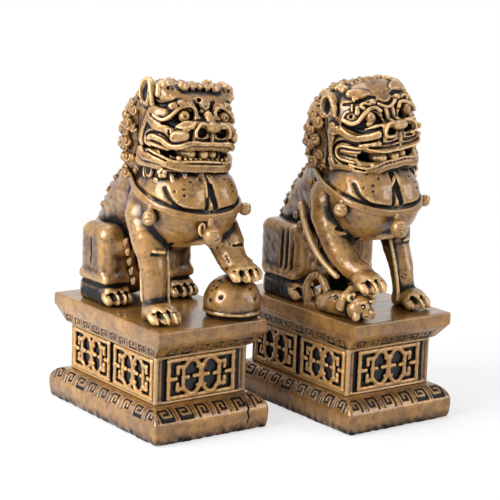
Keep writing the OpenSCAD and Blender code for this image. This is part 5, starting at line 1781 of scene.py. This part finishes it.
def lamp(name, place, aim, size, power, colour):
    """Rectangular lamp at a place, turned to its aim."""
    data = bpy.data.lights.new(name, "AREA")
    data.shape = "RECTANGLE"
    data.size, data.size_y = size
    data.energy = power
    data.color = colour
    light = bpy.data.objects.new(name, data)
    light.location = place
    way = Vector(aim) - Vector(place)
    light.rotation_euler = way.to_track_quat("-Z", "Y").to_euler()
    bpy.context.scene.collection.objects.link(light)


def floor():
    """Pale floor that fades to white round the object."""
    half = 6.0
    mesh = bpy.data.meshes.new("floor")
    mesh.from_pydata([(-half, -half, 0), (half, -half, 0), (half, half, 0), (-half, half, 0)], [],
                     [(0, 1, 2, 3)])
    piece = bpy.data.objects.new("floor", mesh)
    bpy.context.scene.collection.objects.link(piece)
    finish = Finish("pale_floor")
    matt = finish.node("ShaderNodeBsdfDiffuse", {}, {"Color": (0.9, 0.9, 0.9, 1)})
    glow = finish.node("ShaderNodeEmission", {}, {"Color": (1, 1, 1, 1), "Strength": 1.0})
    seen = finish.node("ShaderNodeLightPath", {}, {}, "Is Camera Ray")
    far = finish.node("ShaderNodeVectorMath", {"operation": "LENGTH"}, [finish.coordinates],
                      "Value").ease(0.15, 0.5)
    finish.node("ShaderNodeMixShader", {}, {0: seen * (far * 0.4 + 0.6), 1: matt, 2: glow})
    mesh.materials.append(finish.close())


def sky():
    """Pale sky that lights the scene, and plain white where the camera sees it."""
    world = bpy.data.worlds.new("studio")
    bpy.context.scene.world = world
    world.use_nodes = True
    tree = world.node_tree
    tree.nodes.clear()
    path = tree.nodes.new("ShaderNodeLightPath")
    seen = path.outputs["Is Camera Ray"]
    for ray in ("Is Transmission Ray", "Is Glossy Ray"):
        either = add_node(tree, "ShaderNodeMath", {"operation": "MAXIMUM"}, {0: seen, 1: path.outputs[ray]})
        seen = either.outputs[0]
    light, shown = (add_node(tree, "ShaderNodeBackground", {}, {"Color": colour, "Strength": strength})
                    for colour, strength in (((0.93, 0.96, 1.0, 1), 0.4), ((1, 1, 1, 1), 1.0)))
    mix = add_node(tree, "ShaderNodeMixShader", {}, {0: seen, 1: light.outputs[0], 2: shown.outputs[0]})
    add_node(tree, "ShaderNodeOutputWorld", {}, {0: mix.outputs[0]})


def camera():
    """Camera of the photograph: lens, place and turn as fitted to the pedestals' corners."""
    azimuth, elevation, roll = (math.radians(v) for v in CAMERA_TURN)
    back = Vector((math.sin(azimuth) * math.cos(elevation), -math.cos(azimuth) * math.cos(elevation),
                   math.sin(elevation)))
    right = (-back).cross(Vector((0, 0, 1))).normalized()
    up = right.cross(-back)
    x = math.cos(roll) * right + math.sin(roll) * up
    y = -math.sin(roll) * right + math.cos(roll) * up
    data = bpy.data.cameras.new("camera")
    data.lens, data.sensor_width = LENS, SENSOR
    data.clip_end = 20.0
    view = bpy.data.objects.new("camera", data)
    turn = Matrix((x, y, back)).transposed().to_4x4()
    view.matrix_world = Matrix.Translation(Vector(CAMERA_PLACE)) @ turn
    bpy.context.scene.collection.objects.link(view)
    bpy.context.scene.camera = view


floor()
sky()
camera()
for settings in LAMPS:
    lamp(*settings)
bpy.context.scene.view_settings.view_transform = "Standard"
